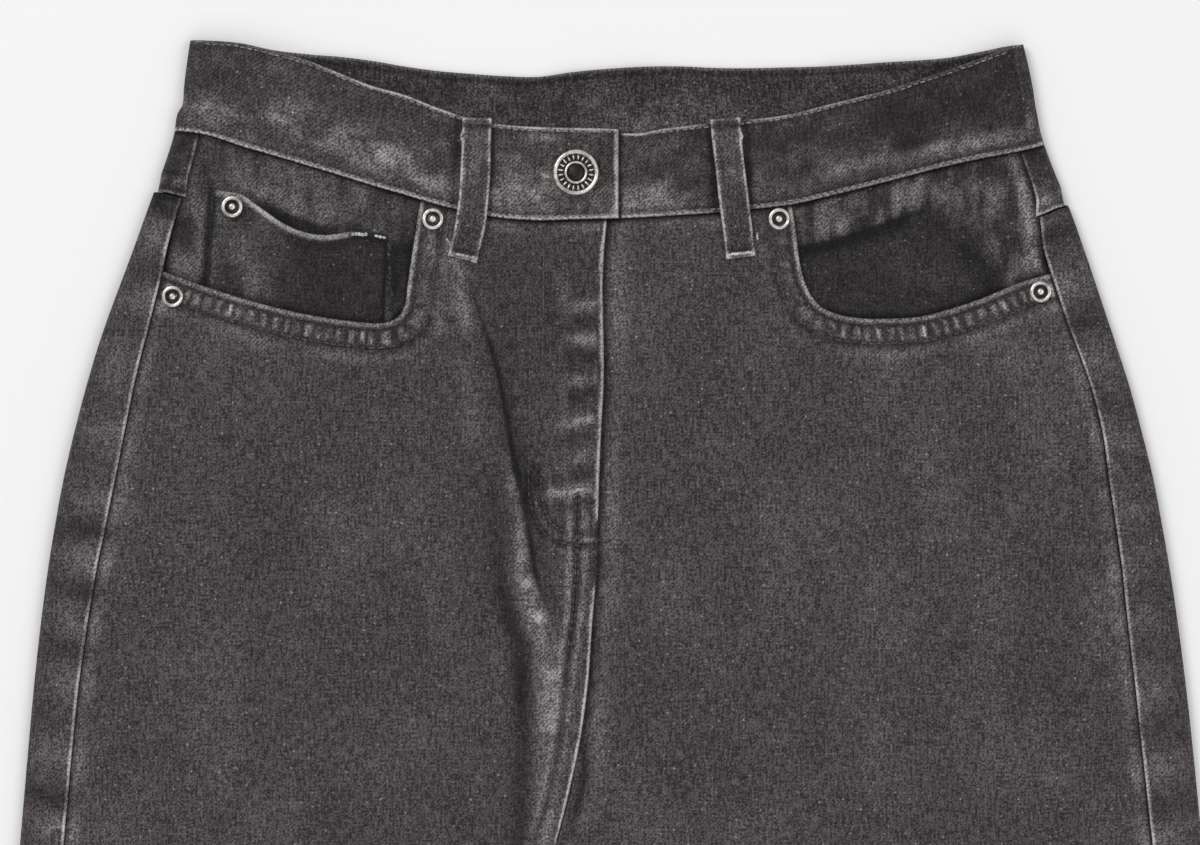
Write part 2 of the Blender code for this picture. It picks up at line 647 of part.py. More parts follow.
def waistband(finish):
    stations = []
    for x in [5.0, -2.0, -12.0, -24.0, -30.0, -38.0, -46.0, -60.0, -80.0, -100.0, -120.0, -140.0, -158.0]:
        stations.append(("top", x))
    stations += [("right side", share) for share in (0.3, 0.6, 0.8)]
    for angle in [180, 150, 120, 90, 60, 30, 0]:
        stations.append(("right fold", angle))
    floor = [-160, -140, -133, -127, -118, -109, -103, -96, -75, -50, -22, -15, -9, 0, 9, 15, 22, 50, 75, 96, 103, 109]
    for x in [*floor, 118, 127, 133, 140, 160]:
        stations.append(("floor", float(x)))
    for angle in [0, 30, 60, 90, 120, 150, 180]:
        stations.append(("left fold", angle))
    stations += [("left side", share) for share in (0.8, 0.6, 0.3)]
    for x in [158.0, 140.0, 120.0, 100.0, 80.0, 60.0, 46.0, 34.0, 26.0, 18.0, 8.0, -6.0, -20.0, -30.0]:
        stations.append(("under", x))
    outside, inside = [], []
    for row in range(4):
        share = row / 3.0
        path, drops = [], []
        for part, at in stations:
            if part in ("top", "under"):
                top, low = along(BAND_EDGES, FRONT_TOP, at), along(BAND_EDGES, FRONT_BOTTOM, at)
                if part == "under" and at < 26.0:
                    top += 1.4 * ease((26.0 - at) / 14.0)
                drop = top + (low - top) * share
                path.append((at, band_height(at, part == "top")))
            elif part == "floor":
                top, low = along(BAND_EDGES, BACK_TOP, at), along(BAND_EDGES, BACK_BOTTOM, at)
                drop = top + (low - top) * share
                path.append((at, floor_lift(at, drop)))
            else:
                side, kind = part.split()
                angle = math.radians(at) if kind == "fold" else math.pi
                drop = 40.0 * share
                for _ in range(10):
                    x = fold_x(side, drop) - SIGN[side] * FOLD * (1.0 - math.sin(angle))
                    if kind == "side":
                        x += (SIGN[side] * 158.0 - x) * (1.0 - at)
                    top = turned_edge(x, angle / math.pi, BACK_TOP, FRONT_TOP)
                    low = turned_edge(x, angle / math.pi, BACK_BOTTOM, FRONT_BOTTOM)
                    drop = top + (low - top) * share
                path.append((x, 3.4 * (1.0 - math.cos(angle))))
            drops.append(drop)
        moved = wall_inside(path, BAND_WALL, 1.0)
        outside.append([(x, drop, z) for (x, z), drop in zip(path, drops)])
        inside.append([(x, drop, z) for (x, z), drop in zip(moved, drops)])
    return cloth("waistband", outside, inside, finish)


def strip(name, middle, half, surface, wall, finish, under=False):
    """A narrow strip down a middle line of (x, drop) points, on the height surface gives."""
    outside, inside = [], []
    steps = 10
    for row in range(steps + 1):
        share = row / steps
        spot = share * (len(middle) - 1)
        k = min(len(middle) - 2, int(spot))
        t = spot - k
        x = middle[k][0] + (middle[k + 1][0] - middle[k][0]) * t
        drop = middle[k][1] + (middle[k + 1][1] - middle[k][1]) * t
        line = []
        for across in (-1.0, -0.5, 0.0, 0.5, 1.0):
            height = surface(x, drop, share)
            if under:
                height = 0.0
            line.append((x + half * across, drop, height))
        outside.append([(a, b, c + (0.0 if under else wall)) for a, b, c in line])
        inside.append([(a, b, c + (wall if under else 0.0)) for a, b, c in line])
    return cloth(name, outside, inside, finish)


def front_loop_height(x, drop, share):
    band = band_height(x, x < 0.0)
    side = "right" if x < 0.0 else "left"
    past = ease((drop - along(BAND_EDGES, FRONT_BOTTOM, x) + 2.0) / 12.0)
    panel = front_height(side, x, drop)
    rest = band + (max(panel, band - 0.6) - band) * past
    return rest + GAP + 0.25 * past + 1.4 * math.sin(math.pi * share) ** 1.5


def back_pocket(side, finish):
    middle = BACK_POCKET_X[side]
    outside, inside = [], []
    for row in range(6):
        part = row / 5.0
        line = []
        for column in range(9):
            share = -1.0 + column / 4.0
            half = BACK_POCKET["half top"] + (BACK_POCKET["half bottom"] - BACK_POCKET["half top"]) * part
            low = BACK_POCKET["point"] - (BACK_POCKET["point"] - BACK_POCKET["side"]) * abs(share)
            drop = BACK_POCKET["top"] + (low - BACK_POCKET["top"]) * part
            line.append((middle + half * share, drop, 0.0))
        outside.append(line)
        inside.append([(x, drop, BACK_POCKET["wall"]) for x, drop, _ in line])
    return cloth("back_pocket_" + side, outside, inside, finish)


def seat(height, x, drop, radius):
    """Highest point of a surface under a round piece."""
    spots = [height(x, drop)]
    for k in range(12):
        angle = k * math.pi / 6.0
        spots.append(height(x + radius * math.cos(angle), drop + radius * math.sin(angle)))
    return max(spots)


def build():
    for old in list(bpy.data.objects):
        bpy.data.objects.remove(old, do_unlink=True)
    denim = finish_of("denim", (0.074, 0.065, 0.067), 0.9)
    inside_denim = finish_of("denim_inside", (0.048, 0.044, 0.043), 0.92)
    facing_denim = finish_of("denim_facing", (0.038, 0.033, 0.033), 0.92)
    metal = finish_of("antique_metal", (0.30, 0.29, 0.27), 0.42, 0.9)
    for side in ("right", "left"):
        back_panel(side, denim)
        yoke(side, denim)
        front_panel(side, denim)
        facing(side, facing_denim)
        back_pocket(side, denim)
    waistband(inside_denim)
    coin_pocket(denim)
    strip("loop_front_right", [(-56.3, 33.0), (-57.6, 48.0), (-59.6, 68.0), (-62.4, 94.0)], LOOP_HALF,
          front_loop_height, 1.2, denim)
    strip("loop_front_left", [(51.2, 33.6), (53.0, 50.0), (55.2, 70.0), (58.2, 93.6)], LOOP_HALF,
          front_loop_height, 1.2, denim)
    for name, x in BACK_LOOPS:
        top = along(BAND_EDGES, BACK_TOP, x) + 0.6
        low = along(BAND_EDGES, BACK_BOTTOM, x) + LOOP_PAST_BAND
        strip(name, [(x, top), (x, low)], LOOP_HALF, front_loop_height, 0.9, denim, under=True)
    cap = [(0.0, 0.0), (4.8, 0.0), (4.8, 0.35), (4.5, 0.8), (3.6, 1.05), (2.6, 1.1), (1.6, 1.5), (0.0, 1.7)]
    rivets = [
        ("rivet_pocket_right", -75.7, 76.9, lambda x, drop: front_height("right", x, drop)),
        ("rivet_side_right", -188.8, 110.6, lambda x, drop: front_height("right", x, drop)),
        ("rivet_pocket_left", 74.8, 76.9, lambda x, drop: front_height("left", x, drop)),
        ("rivet_side_left", 188.4, 108.6, lambda x, drop: front_height("left", x, drop)),
        ("rivet_coin", -163.0, 71.6, lambda x, drop: facing_height("right", x, drop) + GAP + 0.9),
    ]
    for name, x, drop, height in rivets:
        turned(name, x, drop, seat(height, x, drop, 4.8) + 0.2, cap, 16, metal)
    button = [
        (0.0, 0.0), (3.2, 0.0), (3.2, 1.4), (9.2, 1.6), (9.9, 2.1), (10.0, 2.8), (9.6, 3.5), (8.8, 3.7), (7.9, 3.3),
        (7.2, 2.9), (5.3, 2.9), (4.8, 3.3), (4.3, 3.3), (3.8, 2.7), (0.0, 2.5),
    ]
    turned("button", -13.5, 57.0, 8.8 + GAP, button, 28, metal)


build()
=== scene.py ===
import math

import bmesh
import bpy
import numpy as np
from mathutils import Matrix, Vector
from mathutils.bvhtree import BVHTree


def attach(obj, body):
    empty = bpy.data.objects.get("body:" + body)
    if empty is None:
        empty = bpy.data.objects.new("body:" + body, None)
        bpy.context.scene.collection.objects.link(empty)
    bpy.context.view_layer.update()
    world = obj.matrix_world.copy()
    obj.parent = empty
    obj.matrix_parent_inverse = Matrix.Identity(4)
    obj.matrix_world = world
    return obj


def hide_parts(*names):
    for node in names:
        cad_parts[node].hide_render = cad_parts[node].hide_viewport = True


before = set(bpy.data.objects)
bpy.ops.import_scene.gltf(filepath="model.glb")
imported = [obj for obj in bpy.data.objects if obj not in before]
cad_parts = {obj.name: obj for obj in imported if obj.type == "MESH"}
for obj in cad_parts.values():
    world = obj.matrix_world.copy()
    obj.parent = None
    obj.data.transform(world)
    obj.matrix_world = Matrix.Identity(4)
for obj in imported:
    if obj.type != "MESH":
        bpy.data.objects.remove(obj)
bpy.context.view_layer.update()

# Lengths are in millimetres until a mesh is made: x to the wearer's left, drop down from the waist corners,
# z up from the surface the garment lies on.
mm = 0.001
sign = {"right": -1.0, "left": 1.0}  # the wearer's right is on the left of the picture

garment = {
    "midX": -4.5,
    "midDrop": 526.5,
    "hem": 1054,
    "crotch": 356,
    "foldHalf": 5,  # half width of the rounded side folds
    "roll": 6,  # how far the cloth takes to roll round the inside of a leg
    "hemStitch": 1042,
    "hemTurn": 13,  # width of the turned hem
    "wall": 1.05,  # one layer of denim
    "hemWall": 2.1,
    "sections": [
        # drop, right fold, left fold, right seam, left seam, front centre
        (-2, -181.4, 180.7, -171, 170.5, 0),
        (10, -183.2, 183.6, -172, 172.5, 0),
        (20, -184.4, 185.6, -173, 173.5, 0),
        (27, -184.9, 186.6, -174, 174.5, 0),
        (31, -187.2, 187.4, -174.8, 175.5, 0),
        (40, -188.7, 189.2, -177.3, 177, 0),
        (52, -192.4, 193.3, -180.4, 181.4, 0),
        (64, -197, 198.2, -183.8, 185.6, 0),
        (76, -201.4, 203, -187.6, 188.2, 0),
        (90, -206.4, 207.9, -191.4, 190, -1.2),
        (105, -212, 213, -194.6, 194.6, -1.9),
        (120, -217.6, 218, -198.4, 199.6, -1.7),
        (135, -222.6, 223, -202.3, 205.2, -1.4),
        (150, -227, 227.8, -205.9, 210.6, -1.5),
        (170, -232.2, 233.2, -209.9, 215.6, -2.6),
        (190, -236.8, 238.1, -213.9, 218.4, -3.4),
        (210, -240.5, 241.9, -218, 221.4, -4),
        (230, -243.7, 245.4, -222.1, 224.2, -4.6),
        (255, -247, 249.1, -226.3, 226.8, -6.6),
        (280, -249.7, 252.3, -229.8, 229.8, -8.4),
        (305, -252, 255.1, -232.4, 232.5, -12),
        (330, -254.2, 257.6, -234.7, 235.3, -17.4),
        (356, -256.4, 260.1, -237, 238.2, -23.8),
        (370, -257.4, 261.3, -238.1, 239.6, -25.4),
        (420, -261.4, 265, -242.2, 243.6, -27),
        (520, -268, 270.4, -249, 249.4, -28),
        (640, -275.6, 276, -256.8, 255.2, -28.6),
        (780, -284.2, 281.6, -265.6, 261, -29.2),
        (920, -292.8, 287, -274.4, 266.6, -29.8),
        (1060, -301.2, 292, -283, 271.8, -30.2),
    ],
    "leftInner": [
        # drop, x of the wearer's left inner leg
        (300, -10.9), (330, -17.1), (356, -23.3), (364, -22.6), (380, -19.6), (420, -12.6), (520, -2),
        (640, 6.4), (780, 13), (920, 17.8), (1060, 21.2),
    ],
    "bandEdges": [
        # x, front top, front bottom, back top, back bottom
        (-192, -0.9, 37.9, -1, 38.6),
        (-174, -0.8, 40.4, -0.9, 40),
        (-158, 0.6, 45.6, 0.4, 41.4),
        (-144, 4.2, 49.6, 3.2, 43),
        (-130, 8, 53.8, 4.9, 44.8),
        (-116, 13.6, 58, 6, 46.4),
        (-102, 19, 62.4, 7.8, 48.2),
        (-88, 22.9, 66.4, 10.1, 50.2),
        (-74, 28.4, 70.6, 12, 51.6),
        (-60, 33, 74, 13.2, 52.6),
        (-46, 35.7, 76.4, 14.2, 53.4),
        (-30, 37, 77.6, 14.6, 53.6),
        (-15, 37.4, 77.2, 12.6, 52.8),
        (0, 37.7, 76.8, 11.2, 51.8),
        (15, 38.2, 76.2, 10.3, 51),
        (32, 36.7, 75.2, 10, 50.6),
        (48, 34.8, 74.2, 10.7, 50.6),
        (64, 33.4, 72.6, 10.8, 50.4),
        (80, 31.2, 70.7, 10.4, 50.2),
        (94, 27.6, 67.6, 10.1, 50),
        (108, 24.2, 64.2, 9.3, 49.6),
        (122, 20.7, 60.6, 8.3, 49),
        (136, 16.1, 56.9, 7.5, 48.2),
        (150, 11.4, 53.4, 6.1, 47.2),
        (164, 6.4, 50.4, 3.4, 46),
        (176, 1.9, 48.2, 1, 45),
        (192, -0.3, 44.6, -0.5, 43.6),
    ],
    "pocketDown": {
        # x, drop of the pocket opening beside the waist
        "right": [(-80.6, 68), (-82.6, 80), (-84.4, 90), (-86, 100), (-86.2, 110), (-87.6, 117.6)],
        "left": [(80.4, 68), (82, 80), (83.4, 92), (84.8, 102), (86.8, 109), (90, 113.6)],
    },
    "pocketOut": {
        # and out to the side seam
        "right": [
            (-87.6, 117.6), (-91, 120.6), (-95.5, 122.4), (-105, 122), (-123, 119.8), (-141, 116.2),
            (-158.7, 111.4), (-174, 106.6), (-189.6, 100.9), (-196, 98.6),
        ],
        "left": [
            (90, 113.6), (93, 115.8), (97, 117.4), (107.4, 120), (123.5, 120.2), (135.7, 119.6),
            (147.4, 116.6), (163.5, 111.3), (179.6, 104.4), (190.4, 101.4), (196, 99.6),
        ],
    },
    "guides": {
        # drop, line beside the pocket, line of the thigh fold: the mesh columns follow both
        "right": [
            (60, -80, -67), (90, -84.4, -66), (100, -86, -62), (117.6, -87.6, -55.9), (140, -85, -48.7),
            (158, -81, -44.8), (179, -76, -41.3), (202, -71, -36.1), (218, -68, -33.5), (233, -66, -30.9),
            (247, -64, -26.6), (262, -63, -24.4), (285, -64, -30.5), (322, -68, -36.6), (350, -72, -39),
            (420, -80, -48), (600, -112, -78), (800, -130, -92), (1060, -140, -100),
        ],
        "left": [
            (60, 79, 42), (92, 83.4, 44), (102, 84.8, 45), (113.6, 90, 46), (140, 93, 48),
            (200, 96, 50), (260, 96, 49), (330, 92, 44), (420, 95, 52), (600, 112, 70),
            (800, 130, 84), (1060, 140, 92),
        ],
    },
    "sharpFold": [
        # drop, x, height of its raised side
        (84, -67.5, 0), (95, -64, 0.6), (117, -56.1, 1.9), (140, -48.7, 2.8), (158, -44.8, 3.2),
        (179, -41.3, 3.5), (202, -36.1, 3.5), (218, -33.5, 3.2), (233, -30.9, 2.4), (247, -25.6, 1.2),
        (262, -19, 0),
    ],
    "broadFold": [
        # drop, x, depth
        (212, -53, 0), (228, -50.2, 0.5), (247, -45.4, 1), (271, -39.6, 1.4), (292, -37.4, 1.6),
        (322, -37.6, 1.6), (350, -39, 1.5), (400, -46, 1), (460, -54, 0),
    ],
    "yokeSeam": {
        # share of the way from the middle of the back to the side fold, drop
        "right": [(0, 114), (0.2, 106), (0.45, 94), (0.7, 81), (0.9, 69.5), (1, 64.8), (1.2, 67.4)],
        "left": [(0, 114), (0.2, 106), (0.45, 95), (0.7, 83), (0.9, 73.5), (1, 70), (1.2, 76)],
    },
}
frontTopEdge, frontLowEdge, backTopEdge, backLowEdge = 1, 2, 3, 4  # columns of bandEdges
foldColumn = {"right": 1, "left": 2}
seamColumn = {"right": 3, "left": 4}


# Curves, noise and other small helpers, all on whole arrays at once

def ease(value):
    value = np.clip(value, 0.0, 1.0)
    return value * value * (3.0 - 2.0 * value)


def rise(value, start, length):
    return ease((value - start) / length)


def fade(value, start, length):
    return 1.0 - rise(value, start, length)


def bell(value, width):
    return np.exp(-((value / width) ** 2))


def pair(away, rows, width):
    # two stitched rows side by side
    return bell(away - rows[0], width) + bell(away - rows[1], width)


def wave(place, length, sway):
    return np.sin(2 * math.pi * place / length + sway)


def curveAt(table, column, at):
    # smooth curve through one column of a table whose first column rises
    rows = np.array([(row[0], row[column]) for row in table], float)
    xs, ys = rows[:, 0], rows[:, 1]
    slopes = np.empty(len(xs))
    slopes[1:-1] = (ys[2:] - ys[:-2]) / (xs[2:] - xs[:-2])
    slopes[0] = (ys[1] - ys[0]) / (xs[1] - xs[0])
    slopes[-1] = (ys[-1] - ys[-2]) / (xs[-1] - xs[-2])
    at = np.clip(np.asarray(at, float), xs[0], xs[-1])
    k = np.clip(np.searchsorted(xs, at, side="left") - 1, 0, len(xs) - 2)
    span = xs[k + 1] - xs[k]
    t = (at - xs[k]) / span
    return (
        ys[k] * (1 + 2 * t) * (1 - t) ** 2
        + slopes[k] * span * t * (1 - t) ** 2
        + ys[k + 1] * t * t * (3 - 2 * t)
        - slopes[k + 1] * span * t * t * (1 - t)
    )


def softNoise(x, y, size, seed):
    # smooth unevenness from -1 to 1, the same every run
    lattice = np.random.default_rng(seed).uniform(-1.0, 1.0, (64, 64))
    across, down = np.asarray(x) / size + 640.0, np.asarray(y) / size + 640.0
    i, j = np.floor(across).astype(int), np.floor(down).astype(int)
    fx, fy = ease(across - i), ease(down - j)
    i, j, iNext, jNext = i % 64, j % 64, (i + 1) % 64, (j + 1) % 64
    low = lattice[i, j] * (1 - fx) + lattice[iNext, j] * fx
    high = lattice[i, jNext] * (1 - fx) + lattice[iNext, jNext] * fx
    return low * (1 - fy) + high * fy


def edgeRoll(distance, radius):
    # how far a turned edge rounds down within its radius
    reach = np.clip(1.0 - distance / radius, 0.0, 1.0)
    return radius * (1.0 - np.sqrt(1.0 - reach * reach))


class SeamLine:
    # a line on the cloth through (x, drop) points, which knows how near a place is to it
    def __init__(self, points, step=1.2):
        points = np.array(points, float)
        way = np.concatenate([[0.0], np.cumsum(np.hypot(*np.diff(points, axis=0).T))])
        table = [(way[k], points[k, 0], points[k, 1]) for k in range(len(points))]
        at = np.linspace(0.0, way[-1], max(2, int(way[-1] / step)))
        self.spots = np.stack([curveAt(table, 1, at), curveAt(table, 2, at)], axis=1)
        self.steps = np.diff(self.spots, axis=0)
        self.lengths = np.hypot(self.steps[:, 0], self.steps[:, 1])
        self.way = np.concatenate([[0.0], np.cumsum(self.lengths)])
        self.length = self.way[-1]

    def near(self, x, drop, reach=14.0):
        # signed distance (positive on the line's left as it runs, seen from above) and the way along
        x, drop = np.broadcast_arrays(np.asarray(x, float), np.asarray(drop, float))
        distance, along = np.full(x.shape, 99.0), np.zeros(x.shape)
        low, high = self.spots.min(axis=0) - reach, self.spots.max(axis=0) + reach
        close = (x > low[0]) & (x < high[0]) & (drop > low[1]) & (drop < high[1])
        px, pd = x[close], drop[close]
        best, way, side = np.full(px.shape, 1e9), np.zeros(px.shape), np.ones(px.shape)
        for k in range(len(self.steps)):
            dx, dd = self.steps[k]
            t = np.clip(
                ((px - self.spots[k, 0]) * dx + (pd - self.spots[k, 1]) * dd) / self.lengths[k] ** 2, 0, 1
            )
            ox, od = px - self.spots[k, 0] - t * dx, pd - self.spots[k, 1] - t * dd
            far = np.hypot(ox, od)
            nearer = far < best
            best = np.where(nearer, far, best)
            way = np.where(nearer, self.way[k] + t * self.lengths[k], way)
            side = np.where(nearer, np.where(dx * od - dd * ox < 0, 1.0, -1.0), side)
        inside = best < reach
        distance[close] = np.where(inside, best * side, 99.0)
        along[close] = way
        return distance, along

    def at(self, way, offset=0.0):
        # place at a way along, moved to the line's left by offset
        way = np.asarray(way, float)
        x = np.interp(way, self.way, self.spots[:, 0])
        drop = np.interp(way, self.way, self.spots[:, 1])
        ahead = np.clip(way + 0.8, 0, self.length)
        behind = np.clip(way - 0.8, 0, self.length)
        dx = np.interp(ahead, self.way, self.spots[:, 0]) - np.interp(behind, self.way, self.spots[:, 0])
        dd = np.interp(ahead, self.way, self.spots[:, 1]) - np.interp(behind, self.way, self.spots[:, 1])
        size = np.hypot(dx, dd) + 1e-9
        return x + offset * dd / size, drop - offset * dx / size


# Where the garment's lines run

def foldX(side, drop):
    return curveAt(garment["sections"], foldColumn[side], drop)


def seamX(side, drop):
    return curveAt(garment["sections"], seamColumn[side], drop)


def bandEdge(column, x):
    return curveAt(garment["bandEdges"], column, x)


def pocketEdge(side, x):
    return curveAt(sorted(garment["pocketOut"][side]), 1, x)


def turnedEdge(x, turn, back, front):
    return bandEdge(back, x) * (1 - turn) + bandEdge(front, x) * turn


def legs(drop):
    return rise(drop, 346, 26)


def foldHeight(drop):
    return 6.4 - 0.9 * rise(drop, 160, 240) + 0.6 * rise(drop, 960, 80)


def innerX(side, drop, front):
    middle = curveAt(garment["sections"], 5, drop)
    if side == "right":
        return middle - (0 if front else 0.15) * (1 - legs(drop))
    near = rise(drop, 296, 28)
    above = middle - 4 + 4.5 * near if front else middle + 0.15 + 0.35 * near
    return np.where(drop >= garment["crotch"], curveAt(garment["leftInner"], 1, drop), above)


def inHem(drop):
    return rise(drop, garment["hem"] - 15.5, 2.5)


def hemThick(drop):
    # share of the panel's wall, which is that of the turned hem
    return 0.5 + 0.42 * inHem(drop)


underside = {
    "loops": [-118, 0, 118],
    "loopHalf": 6.5,
    "loopPastBand": 20,
    "loopRaise": 1.2,
    "pocketRaise": 1.5,
    "pocketX": {"right": -111, "left": 109},
    "halfTop": 69,
    "halfBottom": 61,
    "top": 152,
    "side": 286,
    "point": 300,
    "rows": (1.8, 8),  # stitch rows from a pocket's edge
    "pocketWall": 1.15,
    "loopWall": 0.9,
}


def floorLift(x, drop):
    # the lowest layer rises over the loops and pockets under it
    lift = np.zeros(np.broadcast(x, drop).shape)
    for middle in underside["loops"]:
        end = float(bandEdge(backLowEdge, middle)) + underside["loopPastBand"]
        across = fade(abs(x - middle) - underside["loopHalf"], 11, 14)
        lift = np.maximum(lift, underside["loopRaise"] * across * fade(drop - end, 4, 14))
    for middle in underside["pocketX"].values():
        across = fade(abs(x - middle) - underside["halfTop"], 9, 13)
        above = rise(drop - underside["top"], -18, 13)
        below = fade(drop - underside["point"], 5, 14)
        lift = np.maximum(lift, underside["pocketRaise"] * across * above * below)
    return lift


def foldDepth(name, drop):
    rows = garment[name]
    return np.where((drop > rows[0][0]) & (drop < rows[-1][0]), curveAt(rows, 2, drop), 0)


def sharpFold(x, drop):
    # height of the fold's raised side and how far a place is past its line
    return foldDepth("sharpFold", drop), x - curveAt(garment["sharpFold"], 1, drop)


def thighFolds(x, drop):
    tall, past = sharpFold(x, drop)
    raised = tall * bell(past + 8.5, 8) - 0.35 * tall * bell(past, 2.6)
    behind = tall * (bell(8.5, 8) - 0.35) * bell(past, 2.2) + 0.16 * tall * bell(past - 12, 6)
    deep = foldDepth("broadFold", drop)
    away = x - curveAt(garment["broadFold"], 1, drop)
    broad = 0.8 * deep * bell(away + 17, 10) - deep * bell(away, 6.5)
    return np.where(past <= 0, raised, behind) + broad


def legDrape(side, x, drop):
    share = rise(drop, 400, 160) * (1 - 0.5 * rise(drop, 940, 100))
    first = curveAt(garment["guides"][side], 2, drop)
    bend = 14 * np.sin(drop / 150)
    outer = first + sign[side] * (62 + 16 * np.sin(drop / 190 + 1))
    return share * (1.5 * bell(x - first - bend, 20) + 1.1 * bell(x - outer, 26))


def frontHeight(side, x, drop):
    # plain top face of a front panel, as the solid has it
    high = 6.8 - 1.9 * rise(drop, 250, 180)
    rim = foldHeight(drop)
    fromMiddle = abs(x - innerX(side, drop, True))
    height = high + (rim - high) * bell(abs(x - seamX(side, drop)), 26)
    height = height + (rim - 0.4 - high) * legs(drop) * bell(fromMiddle, 22)
    fly = fade(drop, 325, 20)
    if side == "right":
        height = height + 1.2 * fly * fade(fromMiddle, 26, 16) + thighFolds(x, drop)
    else:
        height = height - 0.8 * fly * fade(fromMiddle, 5, 14)
        height = (
            height + 0.7 * bell(x - curveAt(garment["guides"][side], 2, drop), 16) * rise(drop, 130, 60)
        )
    return height + legDrape(side, x, drop) + 0.9 * inHem(drop) * 0.8


def facingHeight(side, x, drop):
    climb = 1.8 * bell(x - seamX(side, drop), 9) * fade(drop, 84, 14)
    low = bandEdge(frontLowEdge, x)
    nearBand = 0.9 * fade(drop - low, 1, 9) * rise(abs(x), 90, 10)
    return 3.8 + np.maximum(climb, nearBand)


def bandHeight(x, lapped):
    if lapped:
        return 6.8 + 2 * rise(x, -46, 22)
    return 6.8 - 0.7 * ease((34 - x) / 20)


# Making a cloth piece: a grid is shaped onto whole arrays of x, drop and z, then given its thickness

def added(name, data):
    thing = bpy.data.objects.new(name, data)
    bpy.context.scene.collection.objects.link(thing)
    return thing


def meshOf(name, body, finishes):
    mesh = bpy.data.meshes.new(name)
    body.to_mesh(mesh)
    body.free()
    for finish in finishes:
        mesh.materials.append(finish)
    return mesh


def newPiece(name, body, finishes, replaced):
    piece = added(name, meshOf(name, body, finishes))
    piece.data.shade_smooth()
    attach(piece, "root")
    if replaced:
        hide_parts(replaced)
    return piece


def placed(x, drop, z):
    return np.stack([(x - garment["midX"]) * mm, (garment["midDrop"] - drop) * mm, z * mm], axis=-1)


def clothPiece(name, shape, finishes, replaced, wall):
    x, drop, z = np.broadcast_arrays(shape["x"], shape["drop"], shape["z"])
    rows, columns = x.shape
    body = bmesh.new()
    bmesh.ops.create_grid(body, x_segments=columns - 1, y_segments=rows - 1, size=0.5)
    spot = body.verts.layers.int.new("spot")
    for vert in body.verts:
        row = round((0.5 - vert.co.y) * (rows - 1))
        vert[spot] = row * columns + round((vert.co.x + 0.5) * (columns - 1))
    if "keep" in shape:
        lose = []
        for face in body.faces:
            middle = face.calc_center_median()
            row = int((0.5 - middle.y) * (rows - 1))
            if not shape["keep"][row, int((middle.x + 0.5) * (columns - 1))]:
                lose.append(face)
        bmesh.ops.delete(body, geom=lose, context="FACES")
    if shape.get("flip"):
        bmesh.ops.reverse_faces(body, faces=body.faces)
    piece = newPiece(name, body, finishes, replaced)
    mesh = piece.data
    order = np.empty(len(mesh.vertices), np.int32)
    mesh.attributes["spot"].data.foreach_get("value", order)
    mesh.attributes.remove(mesh.attributes["spot"])
    mesh.vertices.foreach_set("co", placed(x, drop, z).reshape(-1, 3)[order].ravel())
    # wear with painted highlight, and painted shade with the wash's tone, go onto the points for the finish
    # to read
    for field in ("wearAndPaintedHighlight", "paintedShadeAndTone"):
        layer = mesh.attributes.new(field, "FLOAT", "POINT")
        layer.data.foreach_set("value", np.broadcast_to(shape[field], x.shape).ravel()[order])
    corners = np.empty(len(mesh.loops), np.int32)
    mesh.loops.foreach_get("vertex_index", corners)
    spread = (
        np.stack(np.broadcast_arrays(shape["u"], shape["v"]), axis=-1).reshape(-1, 2)[order[corners]] * mm
    )
    mesh.uv_layers.new(name="cloth").data.foreach_set("uv", spread.ravel())
    mesh.update()
    solid = piece.modifiers.new("thickness", "SOLIDIFY")
    solid.thickness = wall * mm
    solid.offset = -1
    solid.use_quality_normals = True
    solid.material_offset = 1 if len(finishes) > 1 else 0
    if "thick" in shape:
        group = piece.vertex_groups.new(name="thick")
        weights = np.broadcast_to(shape["thick"], x.shape).ravel()[order]
        for weight in np.unique(np.round(weights, 2)):
            group.add(
                [int(k) for k in np.flatnonzero(np.round(weights, 2) == weight)], float(weight), "REPLACE"
            )
        solid.vertex_group = "thick"
    return piece


def shaped(x, drop, z, wearAndPaintedHighlight, paintedShadeAndTone, **more):
    # what clothPiece takes; u and v are the place on the flat cloth
    return {
        "x": x, "drop": drop, "z": z, "u": x, "v": drop,
        "wearAndPaintedHighlight": np.clip(wearAndPaintedHighlight, 0, 1), "paintedShadeAndTone": np.clip(paintedShadeAndTone, -1, 1), **more,
    }


def declareSheet(shape):
    # works out the area of each cell of the cloth as cut, from its unrolled measures; nothing is kept or
    # declared
    spread = placed(*np.broadcast_arrays(shape["x"], shape["drop"], shape["z"]))
    across, down = np.diff(spread, axis=1)[:-1], np.diff(spread, axis=0)[:, :-1]
    cells = np.linalg.norm(np.cross(across, down), axis=2)
    if "keep" in shape:
        cells = cells * shape["keep"]


class GridLines:
    # columns of a panel, close together beside its lines and evenly spread between them
    def __init__(self, lines, spans, toward):
        self.lines, self.toward, recipe = lines, toward, []
        for k, (near, count, far) in enumerate(spans):
            last = k == len(spans) - 1
            for offset in near:
                recipe.append((k, 1, offset))
            for share in (np.arange(count) + 1) / (count + 1):
                recipe.append((k, 1 - share, near[-1] * (1 - share) - far[-1] * share))
            for offset in reversed(far if last else far[1:]):
                recipe.append((k, 0, -offset))
        self.span = np.array([entry[0] for entry in recipe])
        self.share = np.array([entry[1] for entry in recipe])
        self.offset = np.array([entry[2] for entry in recipe])
        self.count = len(recipe)

    def at(self, drop):
        spots = np.stack([line(drop) for line in self.lines])
        columns = np.arange(self.count)
        first = spots[self.span, ..., columns].T if drop.ndim == 2 else spots[self.span, columns]
        second = spots[self.span + 1, ..., columns].T if drop.ndim == 2 else spots[self.span + 1, columns]
        return first * self.share + second * (1 - self.share) + self.toward * self.offset


